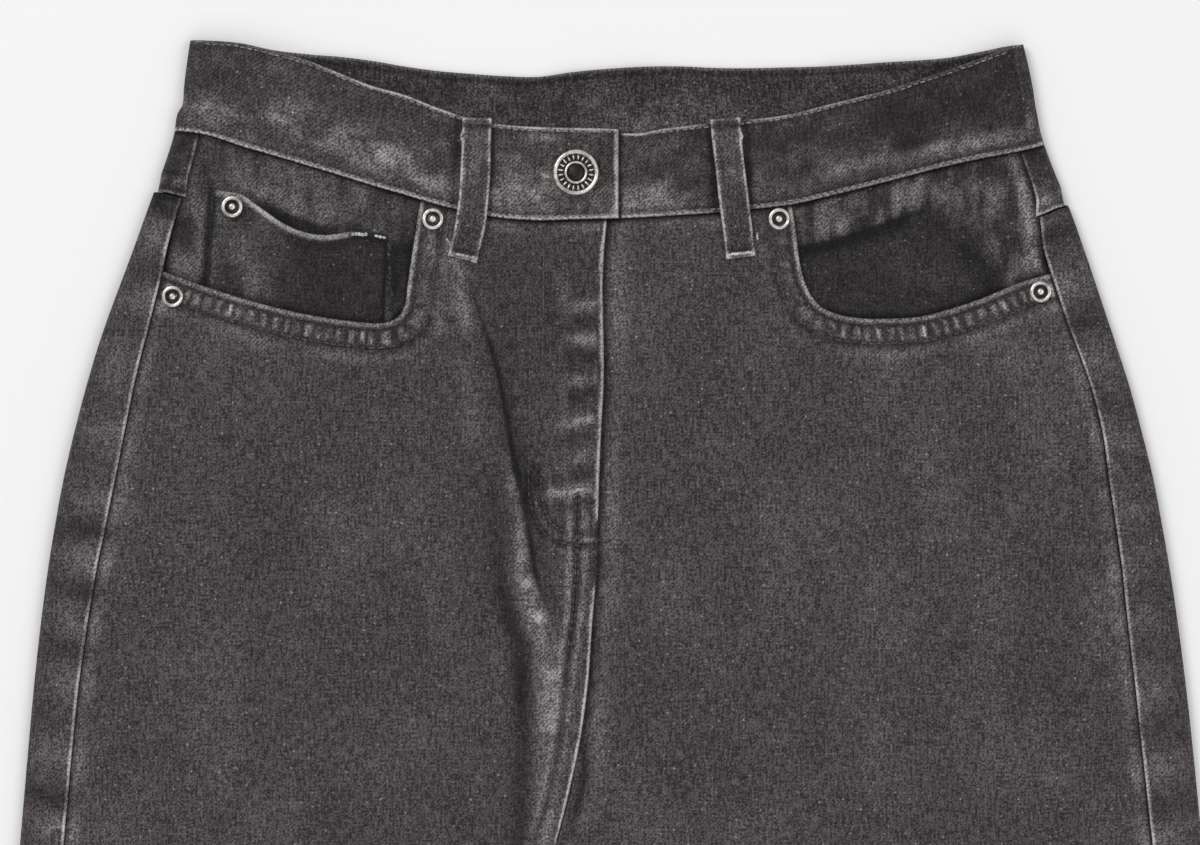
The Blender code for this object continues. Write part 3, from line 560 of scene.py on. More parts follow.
def solveRows(columns, guess, edge):
    # drops at which each column meets an edge given by its x
    drop = np.full(columns.count, float(guess))
    for _ in range(14):
        drop = edge(columns.at(drop))
    return drop


def spacedOut(stops):
    # offsets from (end, step) pairs, the steps growing from one stop to the next
    spots = [0]
    for end, step in stops:
        while spots[-1] < end - 1e-6:
            spots.append(min(end, spots[-1] + step))
    return np.array(spots)


# Front panels

closeSet = [0, 0.3, 0.8, 1.5, 2.4, 3.6, 5]
frontPanel = {
    "gap": 0.3,
    "rimEnd": 148,  # below this drop the rows of the mesh run level
    "rimStitch": (2.4, 10.8),  # stitch rows below a pocket's edge
    "puckerPitch": 4.8,
    "spans": {
        "right": [
            (closeSet, 56, [0, 0.8, 1.8, 3, 4.6, 6.6, 9]),
            ([0, 0.3, 0.8, 1.5, 2.4, 3.6, 5.2, 7.2], 7, [0, 0.7, 1.5, 2.5, 3.8, 5.4]),
            ([0, 0.7, 1.5, 2.5, 3.8], 11, closeSet),
        ],
        "left": [
            (closeSet, 56, [0, 0.8, 1.8, 3, 4.6, 6.6, 9]),
            ([0, 0.3, 0.8, 1.5, 2.4, 3.6, 5.2, 7.2], 12, [0]),
            ([0], 20, closeSet),
        ],
    },
    "creases": {
        # start, end, height (a trough where negative), width of the soft creases
        "right": [
            ((-150, 150), (-96, 186), 0.55, 11), ((-188, 176), (-120, 214), -0.5, 12),
            ((-120, 138), (-74, 150), 0.5, 8),
            ((-205, 250), (-150, 226), 0.45, 13), ((-96, 214), (-58, 250), -0.45, 9),
            ((-176, 300), (-92, 330), 0.4, 16),
            ((-78, 84), (-60, 112), -0.7, 5), ((-26, 96), (-20, 140), -0.35, 5),
            ((-44, 92), (-40, 128), 0.4, 5),
            ((-140, 420), (-196, 560), 1.3, 20), ((-96, 500), (-120, 760), -1.1, 17),
            ((-214, 470), (-226, 640), 0.9, 13),
            ((-176, 700), (-150, 930), 1.2, 22), ((-236, 720), (-222, 900), -0.9, 15),
            ((-84, 640), (-70, 860), 0.9, 14),
            ((-120, 905), (-176, 985), 0.9, 14), ((-60, 470), (-104, 600), 0.8, 10),
            ((-200, 930), (-214, 1030), 0.8, 13),
        ],
        "left": [
            ((96, 134), (150, 162), 0.5, 10), ((60, 96), (74, 128), -0.5, 6),
            ((186, 196), (120, 226), -0.45, 13),
            ((210, 262), (150, 240), 0.4, 12), ((30, 130), (44, 190), 0.4, 8),
            ((8, 236), (40, 268), -0.4, 8),
            ((166, 310), (90, 336), 0.4, 16), ((12, 340), (70, 356), 0.5, 9),
            ((22, 96), (34, 120), 0.35, 6),
            ((150, 430), (190, 590), 1.2, 19), ((90, 520), (118, 740), -1, 18),
            ((224, 480), (236, 660), 0.9, 13),
            ((166, 690), (196, 900), 1.2, 20), ((60, 600), (74, 880), 0.9, 15),
            ((238, 740), (226, 930), -0.8, 14),
            ((120, 900), (176, 990), 0.9, 14), ((20, 420), (66, 560), 0.9, 11),
            ((96, 950), (88, 1040), 0.8, 12),
        ],
    },
    # drops of the dark hollows along the outer seams, between their pale bumps
    "seamHollows": {
        "right": [76, 101, 125, 157, 187, 214, 240, 266, 295, 330, 356, 384, 409, 436, 466, 492],
        "left": [60, 88, 124, 160, 190, 216, 243, 263.5, 300, 334, 361, 388, 414, 441, 470, 497],
    },
    "flyPuckers": [(115, 14), (129.6, 16), (146.5, 15), (165, 18), (181, 14), (194.8, 24)],
    "jStitch": [
        (-34, 189), (-33.9, 196.7), (-32.4, 204), (-30, 209.8), (-25.2, 215.3), (-16.6, 218.4),
        (-5.2, 218.9),
    ],
    "crotchSeam": [(-13, 198), (-12.9, 214), (-13.2, 230), (-14.4, 249), (-16.4, 264), (-18.6, 283),
                   (-21, 305), (-26, 330), (-31.4, 348)],
    "paleStreaks": [
        # start, end, width, strength
        ((-77, 86), (-74, 97), 2.2, 0.34), ((-70, 88), (-62, 102), 2.4, 0.36),
        ((-66, 104), (-60, 126), 3.4, 0.22),
        ((-79, 104), (-72, 126), 3, 0.16), ((-62, 140), (-58, 176), 3.6, 0.12),
    ],
    "jRows": (0, 5.4),
    "flyTopstitch": [(-32.8, 80), (-33, 110), (-33.6, 150), (-33.8, 178), (-34, 189)],
}


def seamRipple(side, drop):
    # pale bumps (+1) and dark hollows (-1) along an outer seam
    hollows = np.array(frontPanel["seamHollows"][side], float)
    mids = (hollows[1:] + hollows[:-1]) / 2
    spots = np.concatenate([hollows, mids])
    values = np.concatenate([np.full(len(hollows), -1.0), np.full(len(mids), 1.0)])
    order = np.argsort(spots)
    upper = np.interp(drop, spots[order], values[order])
    lower = np.sin(drop / 27 * 2 * math.pi + 2 * softNoise(drop, drop * 0 + 7, 90, 41))
    ripple = np.where(drop > spots.max(), lower, upper)
    return ripple * (0.7 + 0.45 * softNoise(drop, drop * 0, 37, 11 if side == "right" else 12))


def alongAndAcross(x, drop, start, end):
    (x0, d0), (x1, d1) = start, end
    span = math.hypot(x1 - x0, d1 - d0)
    along = ((x - x0) * (x1 - x0) + (drop - d0) * (d1 - d0)) / span
    return span, along, ((x - x0) * (d1 - d0) - (drop - d0) * (x1 - x0)) / span


def creaseHeight(x, drop, creases):
    total = np.zeros(np.broadcast(x, drop).shape)
    for start, end, height, width in creases:
        span, along, across = alongAndAcross(x, drop, start, end)
        across = across + 0.06 * span * np.sin(np.clip(along / span, 0, 1) * math.pi)
        within = ease((along + 0.25 * span) / (0.5 * span)) * rise(1.25 * span, along, 0.5 * span)
        total += height * within * bell(across, width)
    return total


def hemMarks(across, drop, seeds, ropeEnd, wearEnd):
    # the turned hem: how it is roped, its grooves, its painted shade and its wear
    fromHem = garment["hem"] - drop
    rope = wave(across + 0.7 * fromHem, 11, 2 * softNoise(across, drop, 30, seeds[0]))
    groove = edgeRoll(fromHem, 1.3) + 0.3 * bell(fromHem - 11.5, 1)
    dark = 0.1 * rope * fade(fromHem, ropeEnd, 3) - 0.5 * bell(fromHem - 13.8, 1.2)
    uneven = (0.5 + softNoise(across, drop, 9, seeds[1])) * fade(fromHem, garment["hemTurn"], wearEnd)
    return rope, groove, dark, 0.65 * fade(fromHem, 0.6, 1.2) + 0.09 * (1 + rope) * uneven


def rightFrontMarks(x, drop, fromMiddle, z, wearAndPaintedHighlight, paintedShadeAndTone):
    # fly, crotch seam, thigh fold and worn streaks, with painted shade in their grooves and valleys and
    # painted highlight on the fold's lobe, added onto the arrays
    fly = fade(drop, 340, 12)
    z -= edgeRoll(fromMiddle, 0.9) * fly
    hidden = rise(drop, 203, 7) * fade(drop, 234, 7)
    shown = (1 - hidden) * (1 - 0.25 * rise(drop, 245, 30))
    lineWear = 1 - ease((fromMiddle - 0.75 * shown - 0.35 + 0.3 * softNoise(drop, x, 9, 34)) / 0.7)
    wearAndPaintedHighlight += lineWear * fly * ease(shown / 0.35) * (0.88 + 0.3 * softNoise(drop, x, 3, 35))
    paintedShadeAndTone -= 0.35 * hidden * bell(fromMiddle, 1.4)
    # fly puckers: pale ridges, worn and in painted highlight, with painted shade below each
    for at, wide in frontPanel["flyPuckers"]:
        slope = at + 0.1 * (fromMiddle - 8)
        across = rise(fromMiddle, 1.5, 2) * fade(fromMiddle, wide * 0.72, wide * 0.5)
        z += (0.4 * bell(drop - slope, 2.4) - 0.22 * bell(drop - slope - 6, 3)) * across
        wearAndPaintedHighlight += 0.34 * bell(drop - slope, 2.4) * across * (0.75 + 0.9 * softNoise(x, drop, 4, 36))
        paintedShadeAndTone += (0.2 * bell(drop - slope, 3) - 0.44 * bell(drop - slope - 7, 2.8)) * across
    # painted shade in the J's stitched grooves, with their sides worn pale
    jLine = SeamLine(frontPanel["jStitch"])
    for offset in frontPanel["jRows"]:
        far = np.abs(jLine.near(x, drop, 12)[0] - offset)
        z -= 0.34 * bell(far, 1)
        paintedShadeAndTone -= 1.05 * bell(far, 1.5) * (0.8 + 0.4 * softNoise(x, drop, 2.5, 45))
    far, _ = jLine.near(x, drop, 12)
    dots = 0.6 + 0.9 * softNoise(x, drop, 4, 46)
    wearAndPaintedHighlight += (
        (0.12 * bell(far + 3, 1.2) + 0.26 * bell(far - 2.7, 1.1) + 0.2 * bell(far - 8, 1.4))
        * np.maximum(dots, 0)
    )
    # painted shadow right of the thigh fold's top, and darker round the tack at the fly's end
    paintedShadeAndTone -= 0.3 * bell(x + 33, 7.5) * bell(drop - 186, 9) + 0.35 * bell(x + 9, 5) * bell(drop - 199, 3)
    # a crease on the fly, painted on as a pale line with painted shade beside it
    crease = x + 18.4 - 0.03 * (drop - 125)
    onFly = rise(drop, 92, 20) * fade(drop, 184, 12)
    wearAndPaintedHighlight += 0.2 * bell(crease, 1) * onFly
    paintedShadeAndTone -= 0.26 * bell(crease - 2, 1.3) * onFly
    # crotch seam: its raised sides worn pale, painted shade in its groove
    far, way = SeamLine(frontPanel["crotchSeam"]).near(x, drop, 9)
    strength = 1 - 0.55 * rise(way, 50, 40)
    z += (0.45 * bell(np.abs(far) - 3, 1.9) - 0.6 * bell(far, 1.2)) * strength
    paintedShadeAndTone -= 1.05 * bell(far, 1.4) * strength
    wearAndPaintedHighlight += 0.46 * bell(np.abs(far) - 3.1, 1.3) * strength * (0.75 + 0.5 * softNoise(way, far, 5, 37))
    # painted shade in the fly's stitched grooves
    far, _ = SeamLine(frontPanel["flyTopstitch"]).near(x, drop, 9)
    z -= 0.22 * pair(far, frontPanel["jRows"], 0.9)
    paintedShadeAndTone -= 0.14 * pair(far, frontPanel["jRows"], 1)
    # thigh fold: painted shadow in its dark valley and in a band beyond its pale lobe, painted highlight on
    # the lobe, and painted shade in the broad soft valley lower down with a painted highlight beside it
    tall, past = sharpFold(x, drop)
    tall = tall / 3.5
    paintedShadeAndTone -= tall * (1.15 * bell(past - 0.3, 1.3) + 0.42 * bell(past - 3.2, 4))
    lobe = rise(drop, 172, 24) * (1 - 0.6 * rise(drop, 262, 60))
    spread = 2 + 2.4 * rise(drop, 205, 45)
    wearAndPaintedHighlight += (
        0.42 * lobe * bell((past + 0.8 + 1.1 * spread) / spread, 1)
        * (0.75 + 0.8 * softNoise(x, drop, 5, 38)) * (drop < 300)
    )
    paintedShadeAndTone -= 0.46 * rise(drop, 176, 26) * fade(drop, 268, 40) * bell(past + 6.6 + 2.4 * spread, 4.8)
    low = rise(drop, 228, 30) * fade(drop, 380, 70)
    away = x - curveAt(garment["broadFold"], 1, drop)
    paintedShadeAndTone -= 0.46 * low * bell(away - 0.5, 4.6)
    paintedShadeAndTone += 0.16 * low * bell(away - 10, 6)
    wearAndPaintedHighlight += 0.14 * low * bell(away - 11, 5) * (0.8 + 0.5 * softNoise(x, drop, 7, 43))
    paintedShadeAndTone -= 0.2 * rise(drop, 150, 60) * fade(drop, 420, 80) * bell(past + 17, 6.5)
    # pale streaks beside the pocket's corner, and painted shade between the loop and the fold and on the
    # fly side of the fold
    for start, end, wide, amount in frontPanel["paleStreaks"]:
        span, on, off = alongAndAcross(x, drop, start, end)
        mark = rise(on, -4, 8) * rise(span + 4, on, 8) * bell(off, wide)
        wearAndPaintedHighlight += amount * mark * (0.8 + 0.5 * softNoise(x, drop, 6, 44))
    paintedShadeAndTone -= 0.22 * bell(x + 50, 9) * bell(drop - 100, 13)
    paintedShadeAndTone -= 0.2 * rise(past, 2, 10) * rise(drop, 80, 12) * fade(drop, 190, 16)


def leftFrontMarks(x, drop, fromMiddle, z, wearAndPaintedHighlight, paintedShadeAndTone):
    # painted shadow beside the lapped fly, a shallow groove, and pale wear further in
    fly = fade(drop, 330, 20)
    paintedShadeAndTone -= 0.75 * fly * bell(fromMiddle - 4.4, 1.5) + 0.2 * fly * bell(fromMiddle - 6.6, 2.4)
    z -= 0.25 * fly * bell(fromMiddle - 4, 2.5)
    wearAndPaintedHighlight += 0.1 * fly * bell(fromMiddle - 10, 4) * (1 + softNoise(x, drop, 12, 39))


def frontShape(side):
    toward = -sign[side]
    gap = frontPanel["gap"]
    lines = [
        lambda drop: seamX(side, drop) + toward * gap,
        lambda drop: curveAt(garment["guides"][side], 1, drop),
        lambda drop: curveAt(garment["guides"][side], 2, drop),
        lambda drop: innerX(side, drop, True),
    ]
    spans = frontPanel["spans"][side]
    columns = GridLines(lines, spans, toward)
    corner = len(spans[0][0]) + spans[0][1] + len(spans[0][2]) - 1
    cornerDrop = garment["pocketDown"][side][-1][1]
    rim = solveRows(columns, 110, lambda x: pocketEdge(side, x))
    rim[corner:] = cornerDrop
    top = solveRows(columns, 70, lambda x: bandEdge(frontLowEdge, x) + gap)
    drops = []
    upper = np.concatenate([closeSet, np.linspace(6.4, cornerDrop - 72.0, 18)])
    for offset in upper[:-1]:
        drops.append(top + (rim - top) * offset / upper[-1])
    reach = frontPanel["rimEnd"] - rim
    nominal = spacedOut([(0.9, 0.3), (3.3, 0.6), (9.3, 1.2), (12, 0.6), (27, 1.9)])
    for offset in nominal:
        drops.append(rim + offset + (reach - nominal[-1]) * rise(offset, 12, nominal[-1] - 12))
    level = spacedOut([(216, 1.8), (290, 3.4), (872, 7), (890.5, 4)])[1:]
    for offset in level:
        drops.append(np.full(columns.count, frontPanel["rimEnd"] + offset))
    for offset in (15.5, 14.6, 13.6, 13, 12.4, 11.6, 9, 6, 3.6, 2, 1, 0.4, 0):
        drops.append(np.full(columns.count, garment["hem"] - offset))
    drop = np.array(drops)
    x = columns.at(drop)
    keep = np.ones((len(drop) - 1, columns.count - 1), bool)
    keep[:len(upper) - 1, :corner] = False
    wearAndPaintedHighlight, paintedShadeAndTone = np.zeros(x.shape), np.zeros(x.shape)

    height = frontHeight(side, x, drop)
    fromMiddle = abs(x - innerX(side, drop, True))
    reachIn = np.minimum(1, fromMiddle / garment["roll"])
    rollDown = (height - foldHeight(drop) * 0.5 - 0.4) * (1 - np.sqrt(1 - (1 - reachIn) ** 2))
    z = height - legs(drop) * rollDown

    # soft unevenness and the listed creases
    calm = rise(drop, 84, 20)
    z += 0.26 * softNoise(x, drop * 0.8, 46, 3 + (side == "left")) * calm
    z += 0.1 * softNoise(x, drop, 15, 5 + (side == "left")) * calm
    z += creaseHeight(x, drop, frontPanel["creases"][side])

    # the waistband lies over the top edge: the panel dips under it, with a line of painted shadow below the
    # band's edge and a pale worn line further down
    below = drop - bandEdge(frontLowEdge, x)
    z -= 1.3 * bell(below, 2.6)
    paintedShadeAndTone -= 0.95 * bell(below - 0.3, 1.2) + 0.16 * bell(below, 5)
    wearAndPaintedHighlight += 0.22 * bell(below - 3.6, 2) * (0.5 + 0.7 * softNoise(x, drop, 9, 8))
    # the wash: cloudy patches, and brushed streaks that run down the leg
    patch = (
        softNoise(x, drop * 0.7, 24, 13 + (side == "left")) + 0.6 * softNoise(x * 1.3, drop * 0.5, 10, 15)
    )
    paintedShadeAndTone += 0.07 * np.clip(patch, -1.2, 1.2) * calm + 0.05 * softNoise(x, drop * 0.12, 5, 17) * calm
    wearAndPaintedHighlight += 0.04 * np.maximum(patch, 0) * calm

    # pocket rim: rolled edge, raised double hem, two stitched grooves in painted shade and the puckers
    # between them, pale on their ridges and in painted shade in their hollows
    rowStart = len(upper) - 1
    edge = np.concatenate([
        np.stack([x[:rowStart, corner], drop[:rowStart, corner]], axis=1),
        np.stack([x[rowStart, :corner + 1], drop[rowStart, :corner + 1]], axis=1)[::-1],
    ])
    rimLine = SeamLine(edge[1:], step=1.6)
    away, along = rimLine.near(x, drop, 18)
    away = np.abs(away)
    # the corner of the opening is rounded off
    spots = rimLine.spots
    reachOver = int(7 / 1.6)
    padded = np.pad(spots, ((reachOver, reachOver), (0, 0)), mode="edge")
    smooth = sum(padded[k:k + len(spots)] for k in range(2 * reachOver + 1)) / (2 * reachOver + 1)
    shift = (smooth - spots) * (ease(rimLine.way / 14) * rise(rimLine.length, rimLine.way, 14))[:, None]
    share = 1 - ease(away / 13)
    x = x + share * np.interp(along, rimLine.way, shift[:, 0])
    drop = drop + share * np.interp(along, rimLine.way, shift[:, 1])
    rimLine = SeamLine(spots + shift, step=1.6)
    first, second = frontPanel["rimStitch"]
    rows = (first + 0.5, second)
    ends = ease(along / 6)
    z += 0.5 * fade(away - second, 0.6, 1.8) * ends - edgeRoll(away, 1.5)
    z -= 0.34 * pair(away, rows, 0.9) * ends
    strong = 0.35 + 0.65 * rise(along, 48, 12)
    phase = along / frontPanel["puckerPitch"] + 0.3 * softNoise(along, away * 0.25, 8, 21)
    pucker = np.sin(2 * math.pi * phase) + 0.35 * softNoise(along, away, 3, 23)
    between = rise(away - first, 1, 1.4) * rise(second - 0.6, away, 2)
    z += 0.28 * strong * pucker * between
    paintedShadeAndTone += strong * between * (0.35 * pucker - 0.3) - 0.75 * pair(away, rows, 1.1)
    paintedShadeAndTone -= 0.24 * bell(away - second - 1.6, 1.3) * strong
    rolled = (0.88 + 0.25 * softNoise(along, away, 5, 22)) * (0.8 + 0.5 * fade(along, 40, 14))
    wearAndPaintedHighlight += 0.5 * fade(away, 1.4, 1.2) * rolled
    wearAndPaintedHighlight += (
        0.62 * strong * between * np.maximum(pucker - 0.1, 0)
        * (0.8 + 0.7 * softNoise(along, away, 7, 24))
    )
    wearAndPaintedHighlight += 0.16 * bell(away - second - 4.5, 2.6) * strong * (0.6 + 0.8 * softNoise(along, away, 8, 25))

    # the outer seam with its hollows and bumps, a line of painted shade along the seam and painted shade in
    # the hollows
    fromSeam = abs(x - seamX(side, drop))
    ripple = seamRipple(side, drop)
    z += 0.42 * ripple * bell(fromSeam, 7) - 0.9 * bell(fromSeam, 1.6)
    paintedShadeAndTone += 0.24 * ripple * bell(fromSeam, 6) - 0.85 * bell(fromSeam, 1.1)
    wearAndPaintedHighlight += 0.16 * (1 + ripple) * bell(fromSeam - 3.6, 2.6) * (0.8 + 0.4 * softNoise(x, drop, 6, 27))

    # hem
    rope, groove, dark, worn = hemMarks(x, drop, (31, 32), 14, 2)
    z += 0.22 * rope * fade(garment["hem"] - drop, garment["hemTurn"], 3) - groove
    paintedShadeAndTone += dark
    wearAndPaintedHighlight += worn

    # legs: the inseam edge worn pale, paler along the raised creases down the leg as wear and painted
    # highlight, and painted shade in the inseam's ripples
    inside = legs(drop) * bell(fromMiddle, 1.6)
    wearAndPaintedHighlight += (
        0.3 * inside
        + 0.1 * rise(drop, 400, 120) * ease(creaseHeight(x, drop, frontPanel["creases"][side]))
    )
    inseam = wave(drop, 19, 3 * softNoise(drop, x * 0, 40, 33))
    paintedShadeAndTone += 0.14 * inseam * legs(drop) * bell(fromMiddle, 7)
    z += 0.16 * inseam * legs(drop) * bell(fromMiddle - 4, 5)

    marks = rightFrontMarks if side == "right" else leftFrontMarks
    marks(x, drop, fromMiddle, z, wearAndPaintedHighlight, paintedShadeAndTone)
    return shaped(
        x, drop, z, wearAndPaintedHighlight, paintedShadeAndTone, keep=keep, flip=side == "left", rimLine=rimLine, thick=hemThick(drop)
    )


# Back panels and yokes: along the floor, round the side fold and over the top as far as the side seam

backPanel = {
    "rollOffsets": [0, 0.3, 0.8, 1.6, 2.8, 4.2, 6],
    "floorCount": 56,
    "foldSteps": 14,
    "topCount": 11,
    "creases": {
        # raised off the floor, behind the seat and the knees
        "right": [
            ((-60, 320), (-150, 352), 1.2, 9), ((-70, 350), (-170, 392), 1, 10),
            ((-50, 400), (-130, 430), 0.8, 9),
            ((-90, 560), (-196, 590), 1.2, 11), ((-100, 640), (-220, 622), 1.3, 10),
            ((-86, 690), (-190, 716), 1.1, 12),
            ((-200, 460), (-226, 620), 0.9, 12), ((-120, 780), (-140, 960), 1.1, 16),
            ((-220, 800), (-240, 980), 0.9, 13),
            ((-60, 520), (-76, 700), 0.8, 10), ((-30, 190), (-26, 260), 0.6, 8),
            ((-196, 236), (-216, 330), 0.7, 10),
        ],
        "left": [
            ((40, 322), (130, 356), 1.2, 9), ((50, 356), (150, 398), 1, 10),
            ((70, 410), (160, 436), 0.8, 9),
            ((60, 566), (190, 600), 1.2, 11), ((80, 650), (210, 628), 1.3, 10),
            ((50, 700), (170, 730), 1.1, 12),
            ((196, 470), (220, 640), 0.9, 12), ((110, 800), (136, 970), 1.1, 16),
            ((226, 820), (236, 990), 0.9, 13),
            ((30, 540), (50, 720), 0.8, 10), ((26, 200), (30, 280), 0.6, 8),
            ((190, 240), (214, 336), 0.7, 10),
        ],
    },
    "felled": (2.2, 8.6),  # the two stitch rows beside the yoke seam and the centre seam
}


def backColumns():
    # each column's kind and its place within that part, and its share of the whole way
    kinds, places, ways = [], [], []
    for offset in backPanel["rollOffsets"]:
        kinds.append(0), places.append(offset), ways.append(offset / 200)
    for share in np.linspace(0, 1, backPanel["floorCount"] + 1)[1:]:
        kinds.append(1), places.append(share), ways.append(0.03 + 0.97 * share)
    for angle in np.linspace(0, math.pi, backPanel["foldSteps"] + 1)[1:]:
        kinds.append(2), places.append(angle), ways.append(1 + 0.1 * angle / math.pi)
    close = [1 - step for step in (0.42, 0.32, 0.235, 0.165, 0.11, 0.068, 0.036, 0.014, 0)]
    for share in [*np.linspace(0, 0.58, backPanel["topCount"] - 4)[1:-1], *close]:
        kinds.append(3), places.append(share), ways.append(1.1 + 0.1 * share)
    return np.array(kinds), np.array(places), np.array(ways)


def backSection(side, drop):
    # x, z and whether a place is on the floor, for every column at its drop
    kinds, places, _ = backColumns()
    toward = sign[side]
    inner = innerX(side, drop, False)
    turn = foldX(side, drop) - toward * garment["foldHalf"]
    height = foldHeight(drop)
    start = inner + toward * garment["roll"]
    x = np.where(kinds == 0, inner + toward * places, start + (turn - start) * places)
    reach = np.minimum(1, abs(x - inner) / garment["roll"])
    lift = (height * 0.5 - 0.4) * (1 - np.sqrt(1 - (1 - reach) ** 2))
    z = floorLift(x, drop) + legs(drop) * lift
    x = np.where(kinds == 2, turn + toward * garment["foldHalf"] * np.sin(places), x)
    z = np.where(kinds == 2, height * 0.5 * (1 - np.cos(places)), z)
    x = np.where(kinds == 3, turn + (seamX(side, drop) - turn) * places, x)
    z = np.where(kinds == 3, height, z)
    return x, z


def unrolled(x, z, side):
    steps = np.hypot(np.diff(x, axis=1), np.diff(z, axis=1))
    way = np.concatenate([np.zeros((len(x), 1)), np.cumsum(steps, axis=1)], axis=1)
    return sign[side] * (abs(x[:, :1]) * np.where(np.sign(x[:, :1]) == sign[side], 1, -1) + way)


def grainAcross(u, x):
    # the weave runs straight down the strip on top as well
    kinds, places, _ = backColumns()
    onto = np.where(kinds == 3, 1, np.where(kinds == 2, ease(places / math.pi), 0))
    return u * (1 - onto) + x * onto


def sideStrip(side, x, drop, kinds, places):
    # relief, wear and tone of the part that shows beside the front's outer seam, with painted shade and
    # highlight following its puckers
    onTop = np.where(kinds == 3, 1, 0)
    turning = np.where(kinds == 2, rise(places, 1.2, 1.6), 0)
    fromSeam = np.where(kinds >= 2, abs(x - seamX(side, drop)), 99)
    ripple = seamRipple(side, drop + 1.5)
    slanted = seamRipple(side, drop + 0.25 * fromSeam)
    lift = (0.45 * ripple * bell(fromSeam, 9) + 0.15 * slanted) * onTop - edgeRoll(fromSeam, 0.8)
    paintedShadeAndTone = (0.55 * slanted - 0.15) * (onTop + turning) * (0.55 + 0.45 * bell(fromSeam - 4, 11))
    paintedShadeAndTone += 0.16 * softNoise(x, drop, 5, 53) * (onTop + turning)
    lineWear = fade(fromSeam, 0.8, 0.8)
    broken = 0.86 + 0.3 * softNoise(drop, x * 0.2, 11, 51) - 0.25 * (ripple < -0.55)
    wearAndPaintedHighlight = 0.72 * lineWear * broken
    blots = 0.75 + 0.6 * softNoise(x, drop, 6, 52)
    wearAndPaintedHighlight += 0.11 * (1 + slanted) * (onTop + turning) * bell(fromSeam - 6, 8) * blots
    return lift, paintedShadeAndTone, wearAndPaintedHighlight


def backCloth(side, drop):
    # what a back panel and its yoke share
    kinds, places, _ = backColumns()
    x, z = backSection(side, drop)
    lift, paintedShadeAndTone, wearAndPaintedHighlight = sideStrip(side, x, drop, kinds, places)
    return x, z + lift, unrolled(x, z, side), abs(x - innerX(side, drop, False)), wearAndPaintedHighlight, paintedShadeAndTone


def backShape(side):
    kinds, places, ways = backColumns()
    seam = curveAt(garment["yokeSeam"][side], 1, ways) + 0.15
    start = frontPanel["rimEnd"]
    close = (
        0, 0.008, 0.02, 0.04, 0.065, 0.1, 0.14, 0.19, 0.25, 0.32, 0.4, 0.48, 0.56, 0.64, 0.72, 0.8, 0.88
    )
    drops = [seam + (start - seam) * share for share in close]
    level = spacedOut([(232, 3.4), (890.5, 6.6)])
    drops += [np.full(len(kinds), start + offset) for offset in level]
    for offset in (15.5, 14.6, 13.6, 12.4, 11.6, 9, 6, 3.6, 2, 1, 0.4, 0):
        drops.append(np.full(len(kinds), garment["hem"] - offset))
    drop = np.array(drops)
    onFloor = kinds <= 1
    x, z, u, inner, wearAndPaintedHighlight, paintedShadeAndTone = backCloth(side, drop)
    pocket = abs(x - underside["pocketX"][side]) < underside["halfTop"] + 6
    clear = np.where(pocket & (drop > 140) & (drop < 312), 0, 1)
    calm = rise(drop, 118, 30) * rise(abs(x - foldX(side, drop)), 14, 20) * clear
    hang = creaseHeight(x, drop, backPanel["creases"][side]) + 0.3 + 0.3 * softNoise(x, drop, 52, 61)
    z += onFloor * np.maximum(hang, 0) * calm
    # darker where the cloth hangs up off the floor, paler where it lies on it, and worn paler round the
    # seat
    paintedShadeAndTone -= onFloor * 0.1 * calm * ease(hang)
    wearAndPaintedHighlight += onFloor * 0.1 * calm * ease(0.5 - 0.8 * hang)
    wearAndPaintedHighlight += onFloor * 0.1 * bell(drop - 250, 90) * clear * (1 + softNoise(x, drop, 34, 62))
    # yoke seam, centre seam and inseam, with painted shade along the seam lines and in the stitched grooves
    away = drop - (seam + 0 * drop)
    z += np.where(onFloor, 0.5, np.where(kinds == 3, -0.4, 0)) * bell(away, 1.2)
    paintedShadeAndTone -= 0.85 * bell(away - 0.6, 1.4) + 0.42 * ~onFloor * bell(away - 6, 4.5)
    wearAndPaintedHighlight += 0.18 * bell(away - 3.4, 2.2) * onFloor + 0.1 * ~onFloor * bell(away - 14, 4)
    middle = (1 - legs(drop)) * onFloor
    felled = backPanel["felled"]
    if side == "right":
        z += middle * 0.3 * pair(inner, felled, 0.9)
        paintedShadeAndTone -= middle * 0.4 * pair(inner, felled, 1)
        pucker = wave(drop, 9.5, 2 * softNoise(drop, x * 0, 24, 63))
        wearAndPaintedHighlight += middle * 0.16 * (1 + pucker) * bell(inner - 5.4, 2.6)
        paintedShadeAndTone += middle * 0.14 * pucker * bell(inner - 5.4, 3.2)
    paintedShadeAndTone -= middle * 0.55 * bell(inner, 0.9)
    wearAndPaintedHighlight += middle * 0.45 * bell(inner - 0.9, 0.7) * (side == "right")
    wearAndPaintedHighlight += legs(drop) * 0.24 * bell(inner - 1, 1.8) * onFloor
    # hem
    _, groove, dark, worn = hemMarks(u, drop, (64, 67), 13, 3)
    z -= np.where(onFloor, -1, np.where(kinds == 3, 1, -np.cos(places))) * groove
    paintedShadeAndTone += dark
    wearAndPaintedHighlight += worn
    z = np.where(kinds <= 2, np.maximum(z, 0), z)
    return shaped(x, drop, z, wearAndPaintedHighlight, paintedShadeAndTone, u=grainAcross(u, x), wide=np.ptp(u), flip=side == "left",
                  thick=hemThick(drop))


